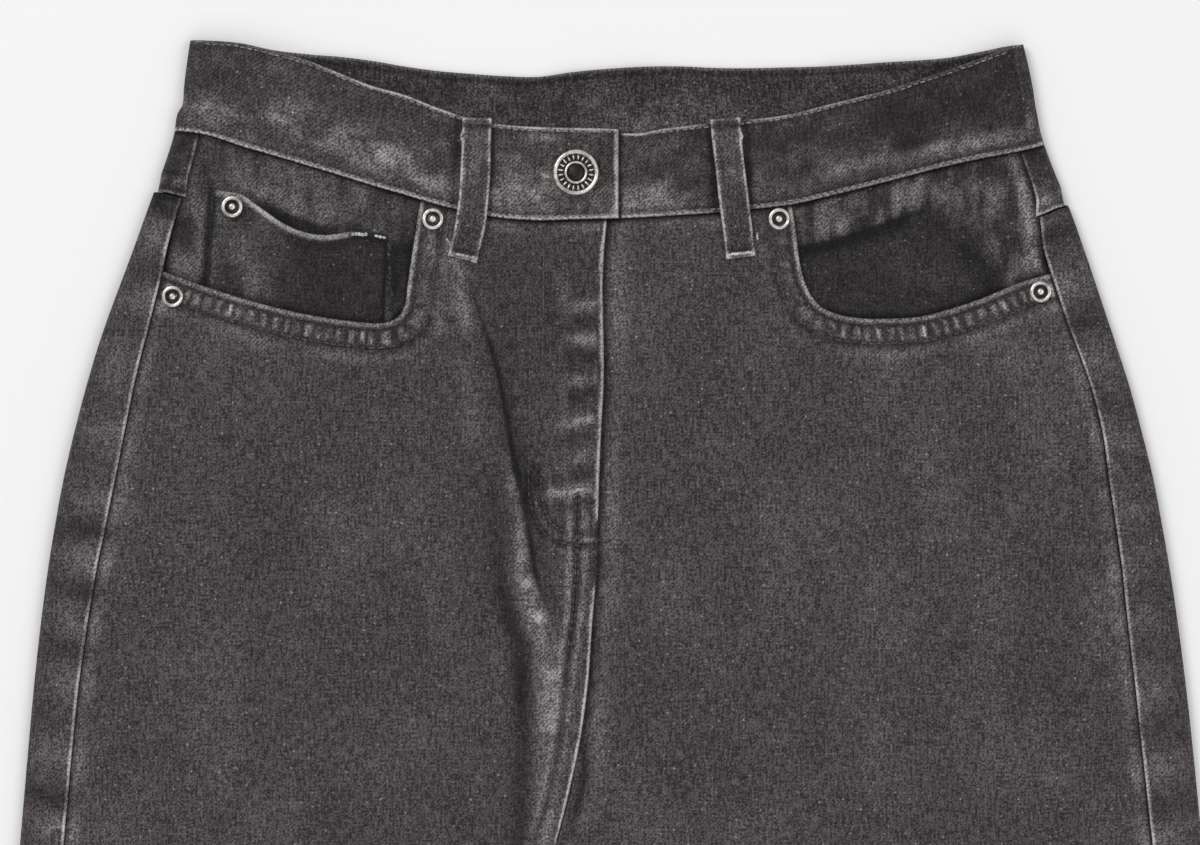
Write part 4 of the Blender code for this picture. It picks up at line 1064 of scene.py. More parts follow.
def yokeShape(side):
    kinds, places, ways = backColumns()
    low = curveAt(garment["yokeSeam"][side], 1, ways) - 0.15
    top = np.full(len(kinds), 52.0)
    for _ in range(8):
        x, _ = backSection(side, top)
        turn = np.clip((ways - 1) / 0.1, 0, 1)
        top = np.where(ways <= 1, bandEdge(backLowEdge, x), turnedEdge(x, turn, backLowEdge, frontLowEdge))
    top = top + 0.3
    shares = [0, 0.012, 0.03, 0.055, 0.09, *np.linspace(0.13, 0.87, 15), 0.91, 0.945, 0.97, 0.985, 0.995, 1]
    drop = np.array([top + (low - top) * share for share in shares])
    onFloor = kinds <= 1
    x, z, u, inner, wearAndPaintedHighlight, paintedShadeAndTone = backCloth(side, drop)
    above, below = drop - top, low - drop
    outward = np.where(onFloor, 1, np.where(kinds == 3, -1, np.cos(places)))
    # drawn in where it meets the back panel, which leaves a notch in the outline
    x = x - sign[side] * 1.5 * (1 - ease(below / 9)) * rise(ways, 0.9, 0.1)
    # lapped over the back panel, with two stitched rows along its lower edge, painted shade in their
    # grooves and in the pucker hollows between them
    felled = backPanel["felled"]
    z += outward * (0.3 * pair(below, felled, 0.9) + edgeRoll(below, 0.7))
    pucker = wave(u, 9, 2 * softNoise(u, drop * 0, 24, 65))
    paintedShadeAndTone += -0.36 * pair(below, felled, 1) + 0.13 * pucker * bell(below - 5.4, 3)
    wearAndPaintedHighlight += 0.5 * fade(below, 0.5, 0.8) + 0.15 * (1 + pucker) * bell(below - 5.4, 2.4)
    # painted shadow along its top edge, below the waistband
    z += outward * 1.1 * bell(above, 2) * np.where(onFloor, 0.6, 1)
    paintedShadeAndTone -= 0.7 * bell(above, 1.1) + 0.14 * bell(above, 5)
    # painted shade along the centre seam, with its edge worn pale
    middle = onFloor * 1
    paintedShadeAndTone -= middle * 0.55 * bell(inner, 0.9)
    wearAndPaintedHighlight += middle * 0.3 * bell(inner - 0.9, 0.7)
    z += middle * np.maximum(0.25 + 0.25 * softNoise(x, drop, 30, 66), 0) * rise(above, 4, 8)
    z = np.where(kinds <= 2, np.maximum(z, 0), z)
    return shaped(x, drop, z, wearAndPaintedHighlight, paintedShadeAndTone, u=grainAcross(u, x), wide=np.ptp(u), flip=side == "left")


# The waistband: one folded strip, from its lapped end round the back to the end under it

waistband = {
    "wall": 2.1,
    "flatHalf": 158,  # as far as this the top runs straight across, then on to the side folds
    "end": 5,
    "rubs": [
        # where the band is rubbed pale: x, drop, half width, half height, strength
        (-30, 42, 7, 3, 0.34), (-41, 50, 5, 4, 0.3), (-34, 64, 6, 5, 0.4), (-44, 60, 4, 6, 0.34),
        (-8, 40, 8, 3, 0.22),
        (-6, 72, 14, 3, 0.3), (-26, 73, 9, 3, 0.24), (24, 46, 16, 5, 0.16), (30, 68, 12, 4, 0.26),
        (74, 36, 9, 6, 0.16),
        (-112, 40, 10, 6, 0.26), (-96, 50, 12, 5, 0.28), (-78, 46, 9, 5, 0.22), (-130, 28, 12, 6, 0.18),
        (-72, 62, 6, 5, 0.24), (-152, 32, 14, 4, 0.18), (110, 52, 14, 4, 0.22), (150, 46, 18, 3, 0.24),
        (90, 30, 12, 6, 0.12),
    ],
    "creases": [
        # on the front: start, end, height, width
        ((-46, 52), (-24, 58), -0.35, 4), ((-150, 24), (-118, 26), 0.35, 7),
        ((-120, 40), (-84, 56), -0.3, 6),
        ((-100, 30), (-72, 40), 0.3, 6), ((70, 48), (96, 44), -0.35, 6), ((98, 40), (128, 30), 0.35, 7),
        ((136, 30), (164, 22), -0.3, 7), ((20, 52), (44, 50), 0.3, 6), ((-40, 68), (-12, 66), 0.3, 5),
        ((-170, 20), (-150, 34), -0.3, 6), ((12, 62), (40, 66), -0.25, 5), ((150, 40), (172, 34), 0.3, 6),
    ],
}


def bandStations():
    stations = [("top", waistband["end"] - offset) for offset in closeSet]
    stations += [("top", x) for x in np.arange(-1.6, -waistband["flatHalf"], -1.45)]
    stations += [("rightSide", share) for share in np.linspace(0, 1, 17)[:-1]]
    stations += [("rightFold", angle) for angle in np.linspace(math.pi, 0, 15)]
    stations += [("floor", x) for x in np.linspace(-172, 172, 140)]
    stations += [("leftFold", angle) for angle in np.linspace(0, math.pi, 15)]
    stations += [("leftSide", share) for share in np.linspace(1, 0, 17)[1:]]
    stations += [("under", x) for x in np.arange(156.6, -2, -1.45)]
    stations += [("under", x) for x in (-5, -9, -14, -20, -26, -30)]
    return stations


def bandShape():
    stations = bandStations()
    full = [0, 0.3, 0.8, 1.5, 2.3, 3.2, *np.arange(4.6, 35.5, 1.62)]
    full = np.array([*full, 36.4, 37.2, 37.9, 38.5, 39, 39.4, 39.8, 40])
    share = full / 40
    columns = []
    for part, at in stations:
        if part in ("top", "under", "floor"):
            edges = (backTopEdge, backLowEdge) if part == "floor" else (frontTopEdge, frontLowEdge)
            top, low = bandEdge(edges[0], at), bandEdge(edges[1], at)
            if part == "under":
                top = top + 1.4 * ease((26 - at) / 14)
            drop = top + (low - top) * share
            x = np.full(len(share), at)
            z = floorLift(x, drop) if part == "floor" else x * 0 + bandHeight(at, part == "top")
        else:
            side, kind = ("right" if part.startswith("right") else "left"), part[-4:]
            angle = at if kind == "Fold" else math.pi
            drop = 40 * share
            for _ in range(12):
                x = foldX(side, drop) - sign[side] * garment["foldHalf"] * (1 - math.sin(angle))
                if kind == "Side":
                    x = x + (sign[side] * waistband["flatHalf"] - x) * (1 - at)
                top = turnedEdge(x, angle / math.pi, backTopEdge, frontTopEdge)
                low = turnedEdge(x, angle / math.pi, backLowEdge, frontLowEdge)
                drop = top + (low - top) * share
            z = np.full(len(share), 3.4 * (1.0 - math.cos(angle)))
        columns.append((x, drop, z))
    x, drop, z = (np.stack([column[k] for column in columns], axis=1) for k in range(3))
    onFloor = np.array([part == "floor" for part, _ in stations])
    onTop = np.array([part in ("top", "under") or part.endswith("Side") for part, _ in stations])
    lapped = np.array([part == "top" for part, _ in stations])
    hiddenEnd = np.array([part == "under" and at < 7.0 for part, at in stations])
    steps = np.hypot(np.diff(x[14]), np.diff(z[14]))
    u = np.concatenate([[0.0], np.cumsum(steps)])[None, :] + 0 * x
    height = np.hypot(np.diff(x, axis=0), np.diff(drop, axis=0)).sum(axis=0)
    v = full[:, None] / 40 * height[None, :]
    fromTop, fromLow = v, height[None, :] - v
    turns = [math.cos(at) if part.endswith("Fold") else 1 - 2 * (part != "floor") for part, at in stations]
    outward = np.array(turns)
    twist = wave(u + 1.1 * fromLow, 3.05, softNoise(u, v, 14, 71))
    z = z + outward * (edgeRoll(fromTop, 1) + edgeRoll(fromLow, 1))
    z += outward * 0.22 * (bell(fromTop - 2.3, 0.8) + bell(fromLow - 2.3, 0.8))
    z -= outward * 0.16 * twist * bell(fromLow - 1, 1)
    soft = 0.3 * softNoise(u, v, 24, 72) + 0.14 * softNoise(u, v * 1.2, 9, 73)
    relief = creaseHeight(x, drop, waistband["creases"]) + soft
    inside = ease(fromTop / 6) * ease(fromLow / 6)
    z += np.where(onTop, relief * inside, 0) + np.where(onFloor, np.maximum(soft, 0) * inside, 0)
    opened = np.where(onTop, 1 - 0.75 * rise(abs(x), 112, 26), 0.25)
    wearAndPaintedHighlight = 0.8 * fade(fromTop, 0.7, 0.8) * (0.9 + 0.25 * softNoise(u, v, 5, 74)) * opened
    wearAndPaintedHighlight += 0.92 * bell(fromLow - 0.7, 0.85) * (0.76 + 0.3 * twist) + 0.08 * bell(fromLow - 2.6, 1.6)
    patches = softNoise(u * 0.8, v * 1.5, 13, 75) + 0.6 * softNoise(u, v, 5, 76)
    lower = bell((fromLow - 11) / 40, 0.22)
    wearAndPaintedHighlight += (0.2 * np.maximum(patches, 0) * (0.3 + 0.9 * lower) + 0.04 * lower) * inside
    # the band's wash in patches, with painted highlight on its raised relief and painted shade in its
    # hollows
    paintedShadeAndTone = 0.24 * np.clip(patches, -1, 1) * inside + 0.12 * relief * onTop * inside
    # painted shade along the stitched rows, inside and out, and a darker band below the top edge
    paintedShadeAndTone = paintedShadeAndTone - 0.5 * onFloor * bell(fromTop - 3.2, 1) + 0.16 * onFloor * softNoise(u, v, 7, 80)
    paintedShadeAndTone = (
        paintedShadeAndTone - 0.2 * bell(fromTop - 2.4, 0.9) - 0.4 * bell(fromLow - 2.8, 0.9)
        - 0.14 * bell(fromTop - 12, 8)
    )
    endAway = abs(waistband["end"] - x) + 99 * (~lapped)
    z -= edgeRoll(endAway, 1.2)
    ragged = 0.85 + 0.35 * softNoise(drop, x * 0.3, 4, 78)
    wearAndPaintedHighlight += 0.9 * (1 - ease((endAway - 1.2 + 0.4 * softNoise(drop, x * 0, 12, 79)) / 0.8)) * ragged
    wearAndPaintedHighlight += 0.3 * fade(endAway + 1.2 * fromLow, 7, 1.6) * ragged
    # painted shade along the stitching at the lapped end
    paintedShadeAndTone -= 0.25 * bell(endAway - 3.6, 1.2) + 0.3 * bell(endAway + 1.2 * fromLow - 9.4, 0.9)
    # a soft crease on the wearer's left, painted on as painted shade with a painted highlight below it, the
    # wearer's left half of the band darker, pale rubs round the button, the buttonhole's tick
    crease = curveAt([(70, 58), (96, 52), (125, 45.5), (160, 39.5), (186, 34)], 1, x)
    onLeft = rise(x, 84, 26) * ease((190 - x) / 8) * onTop
    paintedShadeAndTone -= 0.34 * bell(drop - crease, 2.6) * onLeft + 0.44 * rise(x, 14, 30) * onTop
    wearAndPaintedHighlight += 0.16 * bell(drop - crease - 5, 3) * onLeft
    for rubX, rubDrop, rubWide, rubTall, amount in waistband["rubs"]:
        spot = bell((x - rubX) / rubWide, 1) * bell((drop - rubDrop) / rubTall, 1) * onTop * ~hiddenEnd
        wearAndPaintedHighlight += 0.52 * amount * spot * (0.9 + 1.4 * softNoise(x, drop, 3, 77))
    wearAndPaintedHighlight += 0.5 * bell(drop - 58, 0.7) * rise(x, -28.6, 1) * ease((-24.6 - x) / 1) * lapped
    # painted shadow on the underlap beside the lapped end
    paintedShadeAndTone -= 0.45 * np.array([bell(at - 5.6, 1.1) if part == "under" else 0.0 for part, at in stations])
    wearAndPaintedHighlight = np.where(hiddenEnd, 0, wearAndPaintedHighlight)
    # painted shadow on the band along both sides of the loops that cross it
    for loopX, lean in ((-58.2, -0.06), (53.6, 0.06)):
        paintedShadeAndTone -= 0.75 * bell(abs(x - loopX - lean * (drop - 52)) - 7.8, 1.5) * onTop
    z = np.where(onTop, z, np.maximum(z, 0))
    return shaped(x, drop, z, wearAndPaintedHighlight, paintedShadeAndTone, u=u, v=v, flip=True)


# Inside the pocket openings

pocketFacing = {
    "wall": 1,
    # the long crease on the wearer's left: x, drop
    "crease": [(60, 93), (84.3, 88.6), (107.4, 82.4), (127.4, 75.4), (139.6, 71.2), (153, 67.6), (180, 62)],
    "creases": {
        "right": [
            ((-176, 62), (-120, 70), 0.6, 7), ((-90, 84), (-88, 116), -0.9, 5),
            ((-186, 70), (-180, 100), -0.5, 5), ((-160, 60), (-110, 76), 0.5, 5),
        ],
        "left": [
            ((84, 90), (112, 81), -0.9, 4), ((108, 82), (142, 70), -0.9, 4.5),
            ((90, 82), (136, 66), 0.9, 6),
            ((152, 84), (178, 101), -0.8, 4), ((120, 92), (168, 108), 0.5, 9),
            ((146, 72), (170, 80), 0.4, 6),
        ],
    },
}
coinPocket = {
    "wall": 0.9,
    "top": [
        (-171.3, 64), (-165, 65), (-158.7, 66.4), (-150, 72.4), (-141, 78.6), (-132.2, 82.4), (-123, 83.8),
        (-114.3, 82.8), (-108, 82), (-100.9, 82.6), (-95.4, 83.2),
    ],
    "topSpan": (-171.3, -95.4),
    "lowSpan": (-175.2, -97.6),
}


def facingShape(side):
    toward, creases = sign[side], pocketFacing["creases"][side]
    share = np.linspace(0, 1, 112)[None, :]
    down = np.linspace(0, 1, 60)[:, None]
    drop = np.full((60, 112), 60.0)
    for _ in range(10):
        outer = seamX(side, drop) - toward * (0.3 - 2.4 * rise(drop, 95, 8))
        x = outer + (toward * 64 - outer) * share
        top = bandEdge(frontLowEdge, x) + 0.3
        edge = np.where(abs(x) > 92, pocketEdge(side, x), 118)
        drop = top + (edge + 17 - top) * down
    z = facingHeight(side, x, drop)
    rim = rise(edge - 3, drop, 10) * rise(drop, top, 8) * rise(abs(x), 88, 5)
    folds = creaseHeight(x, drop, creases)
    grain = 0.22 * softNoise(x, drop, 17, 81)
    z = z + (folds + grain) * rim
    brushed = 0.7 * softNoise(x, drop * 0.25, 3.4, 82) + 0.6 * softNoise(x, drop, 8, 83)
    # painted highlight on the raised folds and painted shade in their troughs, painted shade along the side
    # seam, below the band and where it runs under the front's pocket edge
    wearAndPaintedHighlight = 0.1 * ease(folds) * rim + 0.03 * (1 + brushed)
    paintedShadeAndTone = 0.3 * np.minimum(folds, 0) - 0.1
    fromSeam = abs(x - seamX(side, drop))
    paintedShadeAndTone = paintedShadeAndTone - 0.95 * bell(fromSeam - 0.6, 1.1) - 0.8 * bell(drop - top - 0.4, 1.3)
    paintedShadeAndTone -= 0.6 * rise(drop - edge, -4, 4)
    if side == "right":
        # pale, brushed cloth above and beside the coin pocket; painted shade along a slanting line, and
        # painted shadow where it opens, in the gap to its right and along its left edge
        pale = fade(x + 110, 0.4 * (drop - 60), 20)
        wearAndPaintedHighlight += 0.1 * pale * (0.9 + 1.3 * brushed)
        paintedShadeAndTone -= 0.22 * bell(drop - 64 - 0.33 * (x + 140), 2.2) * rise(x, -150, 14)
        above = curveAt(coinPocket["top"], 1, x) - drop
        overCoin = rise(x, -172, 4) * ease((-92 - x) / 4)
        gape = bell(x + 136, 21) * overCoin
        paintedShadeAndTone -= 1.3 * gape * rise(above, -1.6, 1.2) * fade(above - 1.2, 3.4 * gape, 1.8)
        gap = rise(x, -95, 1.5) * rise(drop, 82, 8)
        paintedShadeAndTone -= 0.8 * gap * (1 - 0.45 * bell(x + 91, 3) * bell(drop - 114, 8))
        paintedShadeAndTone -= 1.6 * bell(x + 172.6 + 0.07 * (drop - 64), 1.3) * rise(drop, 58, 8)
    else:
        # pale along the band and the side seam; below the crease it lies deeper, in painted shadow
        line = curveAt(pocketFacing["crease"], 1, x)
        diffuse = rise(x, 118, 34)
        below = ease((drop - line + 0.4 + 4 * diffuse) / (2.2 + 16 * diffuse))
        slant = x - 153 - 0.62 * (drop - 70) + 2 * softNoise(x, drop, 9, 88)
        under = below * (1 - ease((slant + 5) / (13 - 6 * rise(drop, 88, 12))))
        pale = 0.1 + 0.06 * rise(x, 92, 20) * ease((150 - x) / 20)
        wearAndPaintedHighlight += pale * (1 - under) * (0.6 + 2.3 * brushed)
        wearAndPaintedHighlight += 0.26 * bell(fromSeam - 5, 2.6) * fade(drop, 96, 8)
        paintedShadeAndTone = paintedShadeAndTone - 0.36 * under - 0.75 * bell(drop - line - 1.2, 1.3) * fade(x, 128, 20)
        paintedShadeAndTone -= 0.3 * bell(drop - line - 4, 3) * fade(x, 120, 26)
        paintedShadeAndTone -= 0.3 * bell(slant + 9, 5) * rise(drop, 84, 10)
    return shaped(x, drop, z, wearAndPaintedHighlight, paintedShadeAndTone, flip=side == "left")


def coinShape():
    across = np.array([0, 0.004, 0.01, 0.02, *np.linspace(0.035, 0.965, 58), 0.98, 0.99, 0.996, 1])[None, :]
    part = [0, 0.006, 0.014, 0.026, 0.042, 0.062, 0.086, 0.115, *np.linspace(0.15, 1, 26)]
    part = np.array(part)[:, None]
    (topA, topB), (lowA, lowB) = coinPocket["topSpan"], coinPocket["lowSpan"]
    topX, lowX = topA + (topB - topA) * across, lowA + (lowB - lowA) * across
    top = curveAt(coinPocket["top"], 1, topX)
    low = pocketEdge("right", lowX) + 12
    x, drop = topX + (lowX - topX) * part, top + (low - top) * part
    z = facingHeight("right", x, drop) + 1.2
    fromTop = drop - top
    fromSide = np.minimum(x - (topA + (lowA - topA) * part), topB + (lowB - topB) * part - x)
    gape = bell(topX + 140, 26)
    z = z + (1.5 + 0.9 * gape) * np.exp(-((fromTop / 6) ** 2)) * ease(fromSide / 8)
    z -= edgeRoll(fromTop, 1.3) + edgeRoll(fromSide, 0.8) + 0.3 * bell(fromTop - 8, 0.9)
    z += 0.18 * softNoise(x, drop, 12, 84)
    wearAndPaintedHighlight = 0.6 * fade(fromTop, 1.6, 1.6) * (0.85 + 0.3 * softNoise(x, fromTop, 9, 85))
    atTack = rise(x, -112.5, 2.5) * ease((-95 - x) / 2) * fade(fromTop, 3.4, 1.2)
    wearAndPaintedHighlight *= 1 - 0.75 * atTack
    leftPale = fade(x, -156, 26)
    wearAndPaintedHighlight += 0.16 * leftPale * (0.8 + softNoise(x * 1.4, drop * 0.6, 9, 86)) * fade(drop, 106, 12)
    # painted shadow below the rolled top, along the sides and under the front's pocket edge, and darker
    # towards the right, in a patch near the rivet and round the tack
    paintedShadeAndTone = -0.3 * bell(fromTop - 4.6, 2) - 1.3 * bell(fromSide - 0.2, 1.2) - 0.22 * (1 - leftPale)
    paintedShadeAndTone -= 0.3 * bell(x + 166, 6) * bell(drop - 78, 9) + 0.55 * atTack
    paintedShadeAndTone -= 0.6 * rise(drop - pocketEdge("right", x), -4, 4) + 0.1
    paintedShadeAndTone += 0.12 * softNoise(x, drop, 10, 87)
    return shaped(x, drop, z, wearAndPaintedHighlight, paintedShadeAndTone)


# Belt loops and back pockets

beltLoop = {
    "half": 6.5,
    "wall": 1.2,
    "front": {
        "right": [(-56.4, 33), (-56.9, 48), (-57.4, 62), (-58.8, 76), (-60.7, 86), (-63, 94.6)],
        "left": [(51.4, 33.2), (52, 42), (53.4, 54), (55, 68), (56.8, 82), (58.2, 93.8)],
    },
    "rows": (-3.2, 3.2),
    "lowTack": {"right": (1, 0.2), "left": (1, -0.12)},  # way that the tack at the low end runs
    "frayed": {"right": ((-68.4, 87.4), (0.6, 1), 4.6), "left": ((65.3, 84.6), (0.2, 1), 2.6)},
}


def stripAcross():
    half = np.array([0.18, 0.36, 0.52, 0.66, 0.78, 0.88, 0.955, 1])
    return np.array([*-half[::-1], 0, *half])


def loopFields(way, length, across, seed):
    # wear, tone and painted shade of a folded strip: pale ridged edges, painted shade along its stitched
    # grooves, its middle and across its ends, tacked ends
    fromEdge = (1 - abs(across)) * beltLoop["half"]
    fromEnd = np.minimum(way, length - way)
    broken = 0.8 + 0.4 * softNoise(way, across * 4, 5, seed)
    ridge = 0.75 + 0.5 * softNoise(way, across * 4, 3, seed + 6)
    wearAndPaintedHighlight = 0.9 * fade(fromEdge, 0.75, 0.7) * ridge + 0.14 * bell(fromEdge - 2, 1.1) * broken
    corner = 0.55 + 0.45 * rise(abs(across), 0.45, 0.3)
    tipWear = 0.4 + 0.35 * rise(way, 0.5 * length, 5)
    wearAndPaintedHighlight = wearAndPaintedHighlight + tipWear * fade(fromEnd, 1, 0.9) * corner + 0.1 * bell(way - 9, 3)
    patchy = 0.7 + 0.9 * softNoise(way, across * 6, 4, seed + 5)
    wearAndPaintedHighlight += 0.22 * bell(way - 0.34 * length, 0.2 * length) * patchy
    wearAndPaintedHighlight = wearAndPaintedHighlight * (1 - 0.55 * bell(way - 3.4, 1.3))
    paintedShadeAndTone = -0.5 * bell(fromEdge - 2.9, 0.9) - 0.1 * bell(abs(across), 0.35)
    paintedShadeAndTone = paintedShadeAndTone - 0.6 * bell(fromEnd - 3.6, 1.1) + 0.3 * softNoise(way, across * 5, 6, seed + 1)
    relief = -edgeRoll(fromEdge, 1) - 0.22 * bell(fromEdge - 3, 0.8) - 0.4 * bell(fromEnd - 3.6, 2)
    relief = relief + 0.12 * softNoise(way, across * 6, 6, seed + 2) - edgeRoll(fromEnd, 0.9)
    return wearAndPaintedHighlight, paintedShadeAndTone, relief


def frontLoopShape(side):
    middle = beltLoop["front"][side]
    share = np.array([0, 0.006, 0.014, 0.026, *np.linspace(0.045, 0.955, 50), 0.974, 0.986, 0.994, 1])
    middleDrop = middle[0][1] + (middle[-1][1] - middle[0][1]) * share
    middleX = curveAt([(low, at) for at, low in middle], 1, middleDrop)
    across = stripAcross()[None, :]
    slope = np.gradient(middleX, middleDrop)[:, None]
    half = beltLoop["half"] * (1 + 0.035 * softNoise(middleDrop, middleDrop * 0, 11, 91 + (side == "left")))
    x = middleX[:, None] + half[:, None] * across / np.hypot(1, slope)
    drop = middleDrop[:, None] - half[:, None] * across * slope / np.hypot(1, slope)
    # the small knot on each loop's outer edge
    outward = sign[side] * across
    x = x + sign[side] * 0.9 * bell(middleDrop - 41.5, 1.8)[:, None] * rise(outward, 0.7, 0.25)
    share = share[:, None]
    band = bandHeight(x, side == "right")
    past = rise(drop - bandEdge(frontLowEdge, x), -2, 12)
    panel = frontHeight(side, x, drop)
    rest = band + (np.maximum(panel, band - 0.6) - band) * past
    base = rest + 0.3 + 0.25 * past + 1.4 * np.sin(math.pi * share) ** 1.5 + beltLoop["wall"]
    length = middle[-1][1] - middle[0][1]
    way = share * length + 0 * across
    wearAndPaintedHighlight, paintedShadeAndTone, relief = loopFields(way, length, across, 92 if side == "right" else 96)
    return shaped(x, drop, base + relief, wearAndPaintedHighlight, paintedShadeAndTone, u=beltLoop["half"] * across + 0 * x, v=way)


def backLoopShape(middle, seed):
    top = float(bandEdge(backTopEdge, middle)) + 0.6
    low = float(bandEdge(backLowEdge, middle)) + underside["loopPastBand"]
    share = np.linspace(0, 1, 44)[:, None]
    across = stripAcross()[None, :]
    x = middle + underside["loopHalf"] * across + 0 * share
    drop = top + (low - top) * share + 0 * across
    way = (low - top) * share + 0 * across
    wearAndPaintedHighlight, paintedShadeAndTone, relief = loopFields(way, low - top, across, seed)
    return shaped(x, drop, np.maximum(-relief * 0.8, 0), wearAndPaintedHighlight, paintedShadeAndTone,
                  u=underside["loopHalf"] * across + 0 * x, v=way, flip=True)


def backPocketShape(side):
    middle = underside["pocketX"][side]
    half = np.array([0, 0.006, 0.016, 0.03, 0.05, 0.075, 0.11, 0.15, *np.linspace(0.2, 1.0, 18)])
    across = np.concatenate([half - 1.0, (1.0 - half)[::-1][1:]])[None, :]
    part = [0, 0.003, 0.008, 0.015, 0.025, 0.04, 0.06, 0.08, 0.1, 0.125, *np.linspace(0.16, 0.92, 34)]
    part = np.array([*part, 0.94, 0.957, 0.97, 0.98, 0.988, 0.994, 0.998, 1])[:, None]
    width = underside["halfTop"] + (underside["halfBottom"] - underside["halfTop"]) * part
    low = underside["point"] - (underside["point"] - underside["side"]) * abs(across)
    drop = underside["top"] + (low - underside["top"]) * part
    x = middle + width * across + 0 * drop
    fromTop = drop - underside["top"]
    fromSide = (1 - abs(across)) * width
    fromLow = low - drop
    edge = np.minimum(np.minimum(fromTop, fromSide), fromLow)
    sewn = np.minimum(fromSide, fromLow)
    pucker = wave(x * 0.7 + drop, 8.5, 2 * softNoise(x, drop, 26, 101))
    lift = edgeRoll(edge, 0.9) + 0.28 * pair(sewn, underside["rows"], 0.8)
    lift += 0.28 * (bell(fromTop - 12.5, 0.8) + bell(fromTop - 1.9, 0.8))
    wearAndPaintedHighlight = 0.62 * fade(edge, 0.6, 1) * (0.8 + 0.3 * softNoise(x, drop, 9, 102))
    wearAndPaintedHighlight = wearAndPaintedHighlight + 0.14 * (1 + pucker) * bell(sewn - 4.8, 2.8) + 0.13 * (1 + pucker) * bell(fromTop - 7, 4)
    wearAndPaintedHighlight += 0.1 * (1 + softNoise(x, drop, 30, 103)) * rise(edge, 10, 14)
    # painted shade in the stitched grooves and below the top hem, lighter and darker over the puckers
    paintedShadeAndTone = 0.12 * pucker * bell(sewn - 4.8, 3) - 0.34 * pair(sewn, underside["rows"], 0.9)
    paintedShadeAndTone = paintedShadeAndTone - 0.3 * bell(fromTop - 12.5, 0.9) - 0.45 * bell(fromTop - 14.2, 1)
    return shaped(x, drop, np.maximum(lift, 0), wearAndPaintedHighlight, paintedShadeAndTone, u=x - middle, flip=True)


# Sewing: short rounded stitches laid along lines, on whatever surface is under or over them

thread = {
    "pitch": 3.1, "stitch": 2.5, "wide": 0.62, "high": 0.42, "lift": 0.1, "liftBelow": 0.16, "loose": 0.12
}


class Surface:
    # finds the height of finished pieces at a place, from above or from below
    def __init__(self, pieces, fromAbove=True):
        self.trees = []
        for piece in pieces:
            body = bmesh.new()
            body.from_mesh(piece.data)
            self.trees.append(BVHTree.FromBMesh(body))
            body.free()
        self.fromAbove = fromAbove

    def spot(self, x, drop):
        start = Vector(placed(float(x), float(drop), 60.0 if self.fromAbove else -60.0).tolist())
        way = Vector((0, 0, -1 if self.fromAbove else 1))
        hits = [tree.ray_cast(start, way)[0] for tree in self.trees]
        hits = [hit for hit in hits if hit is not None]
        if not hits:
            return None
        return min(hits, key=lambda hit: (hit - start).length)


class Sewing:
    # gathers the stitches of one piece
    def __init__(self, name, finish, slotName):
        self.name, self.finish, self.slotName, self.body = name, finish, slotName, bmesh.new()
        self.random = np.random.default_rng(len(name) * 7 + 1)
        self.count = 0

    def stitch(self, first, second, wide=thread["wide"], high=thread["high"]):
        along = second - first
        length = along.length
        if length < 1e-5:
            return
        along.normalize()
        side = Vector((0, 0, 1)).cross(along).normalized()
        top = along.cross(side)
        turn = Matrix((along, side, top)).transposed().to_4x4()
        stretch = Matrix.Diagonal((length, wide * mm, high * mm, 1.0))
        middle = Matrix.Translation((first + second) / 2.0)
        lay = Matrix.Rotation(math.pi / 2, 4, "Y")
        place = middle @ turn @ stretch @ lay
        bmesh.ops.create_uvsphere(self.body, u_segments=6, v_segments=4, radius=0.5, matrix=place)
        self.count += 1

    def row(self, line, surface, offset=0.0, start=0.0, end=0.0):
        # start and end are left free of stitches
        lift = thread["lift"] * mm if surface.fromAbove else -thread["liftBelow"] * mm
        pitch, half = thread["pitch"], thread["stitch"] * 0.5
        for way in np.arange(start + pitch * 0.5, line.length - end - pitch * 0.3, pitch):
            sway = self.random.uniform(-thread["loose"], thread["loose"], 2)
            ends = []
            for at, aside in ((way - half, sway[0]), (way + half, sway[1])):
                x, drop = line.at(np.clip(at, 0, line.length), offset + aside)
                hit = surface.spot(x, drop)
                if hit is not None:
                    ends.append(hit + Vector((0, 0, lift)))
            if len(ends) == 2 and (ends[0] - ends[1]).length < 3.4 * half * mm:
                self.stitch(*ends)

    def barTack(self, centre, direction, length, across, surface, count=15):
        # dense short stitches side by side
        direction = np.array(direction, float) / math.hypot(*direction)
        normal = np.array([-direction[1], direction[0]])
        for k in range(count):
            at = np.array(centre) + direction * length * ((k + 0.5) / count - 0.5)
            sway = self.random.uniform(-0.18, 0.18)
            hits = [surface.spot(*(at + normal * (across * s * 0.5 + sway))) for s in (-1, 1)]
            if None not in hits:
                clear = Vector((0, 0, (0.22 if surface.fromAbove else -0.05) * mm))
                self.stitch(hits[0] + clear, hits[1] + clear, wide=length / count * 1.25, high=0.5)

    def finishPiece(self, sheet):
        sewn[sheet].append(newPiece(self.name, self.body, [self.finish], None))
        print("sewn", self.name, self.count)


# Hard pieces: turned from a profile of (radius, height) pairs

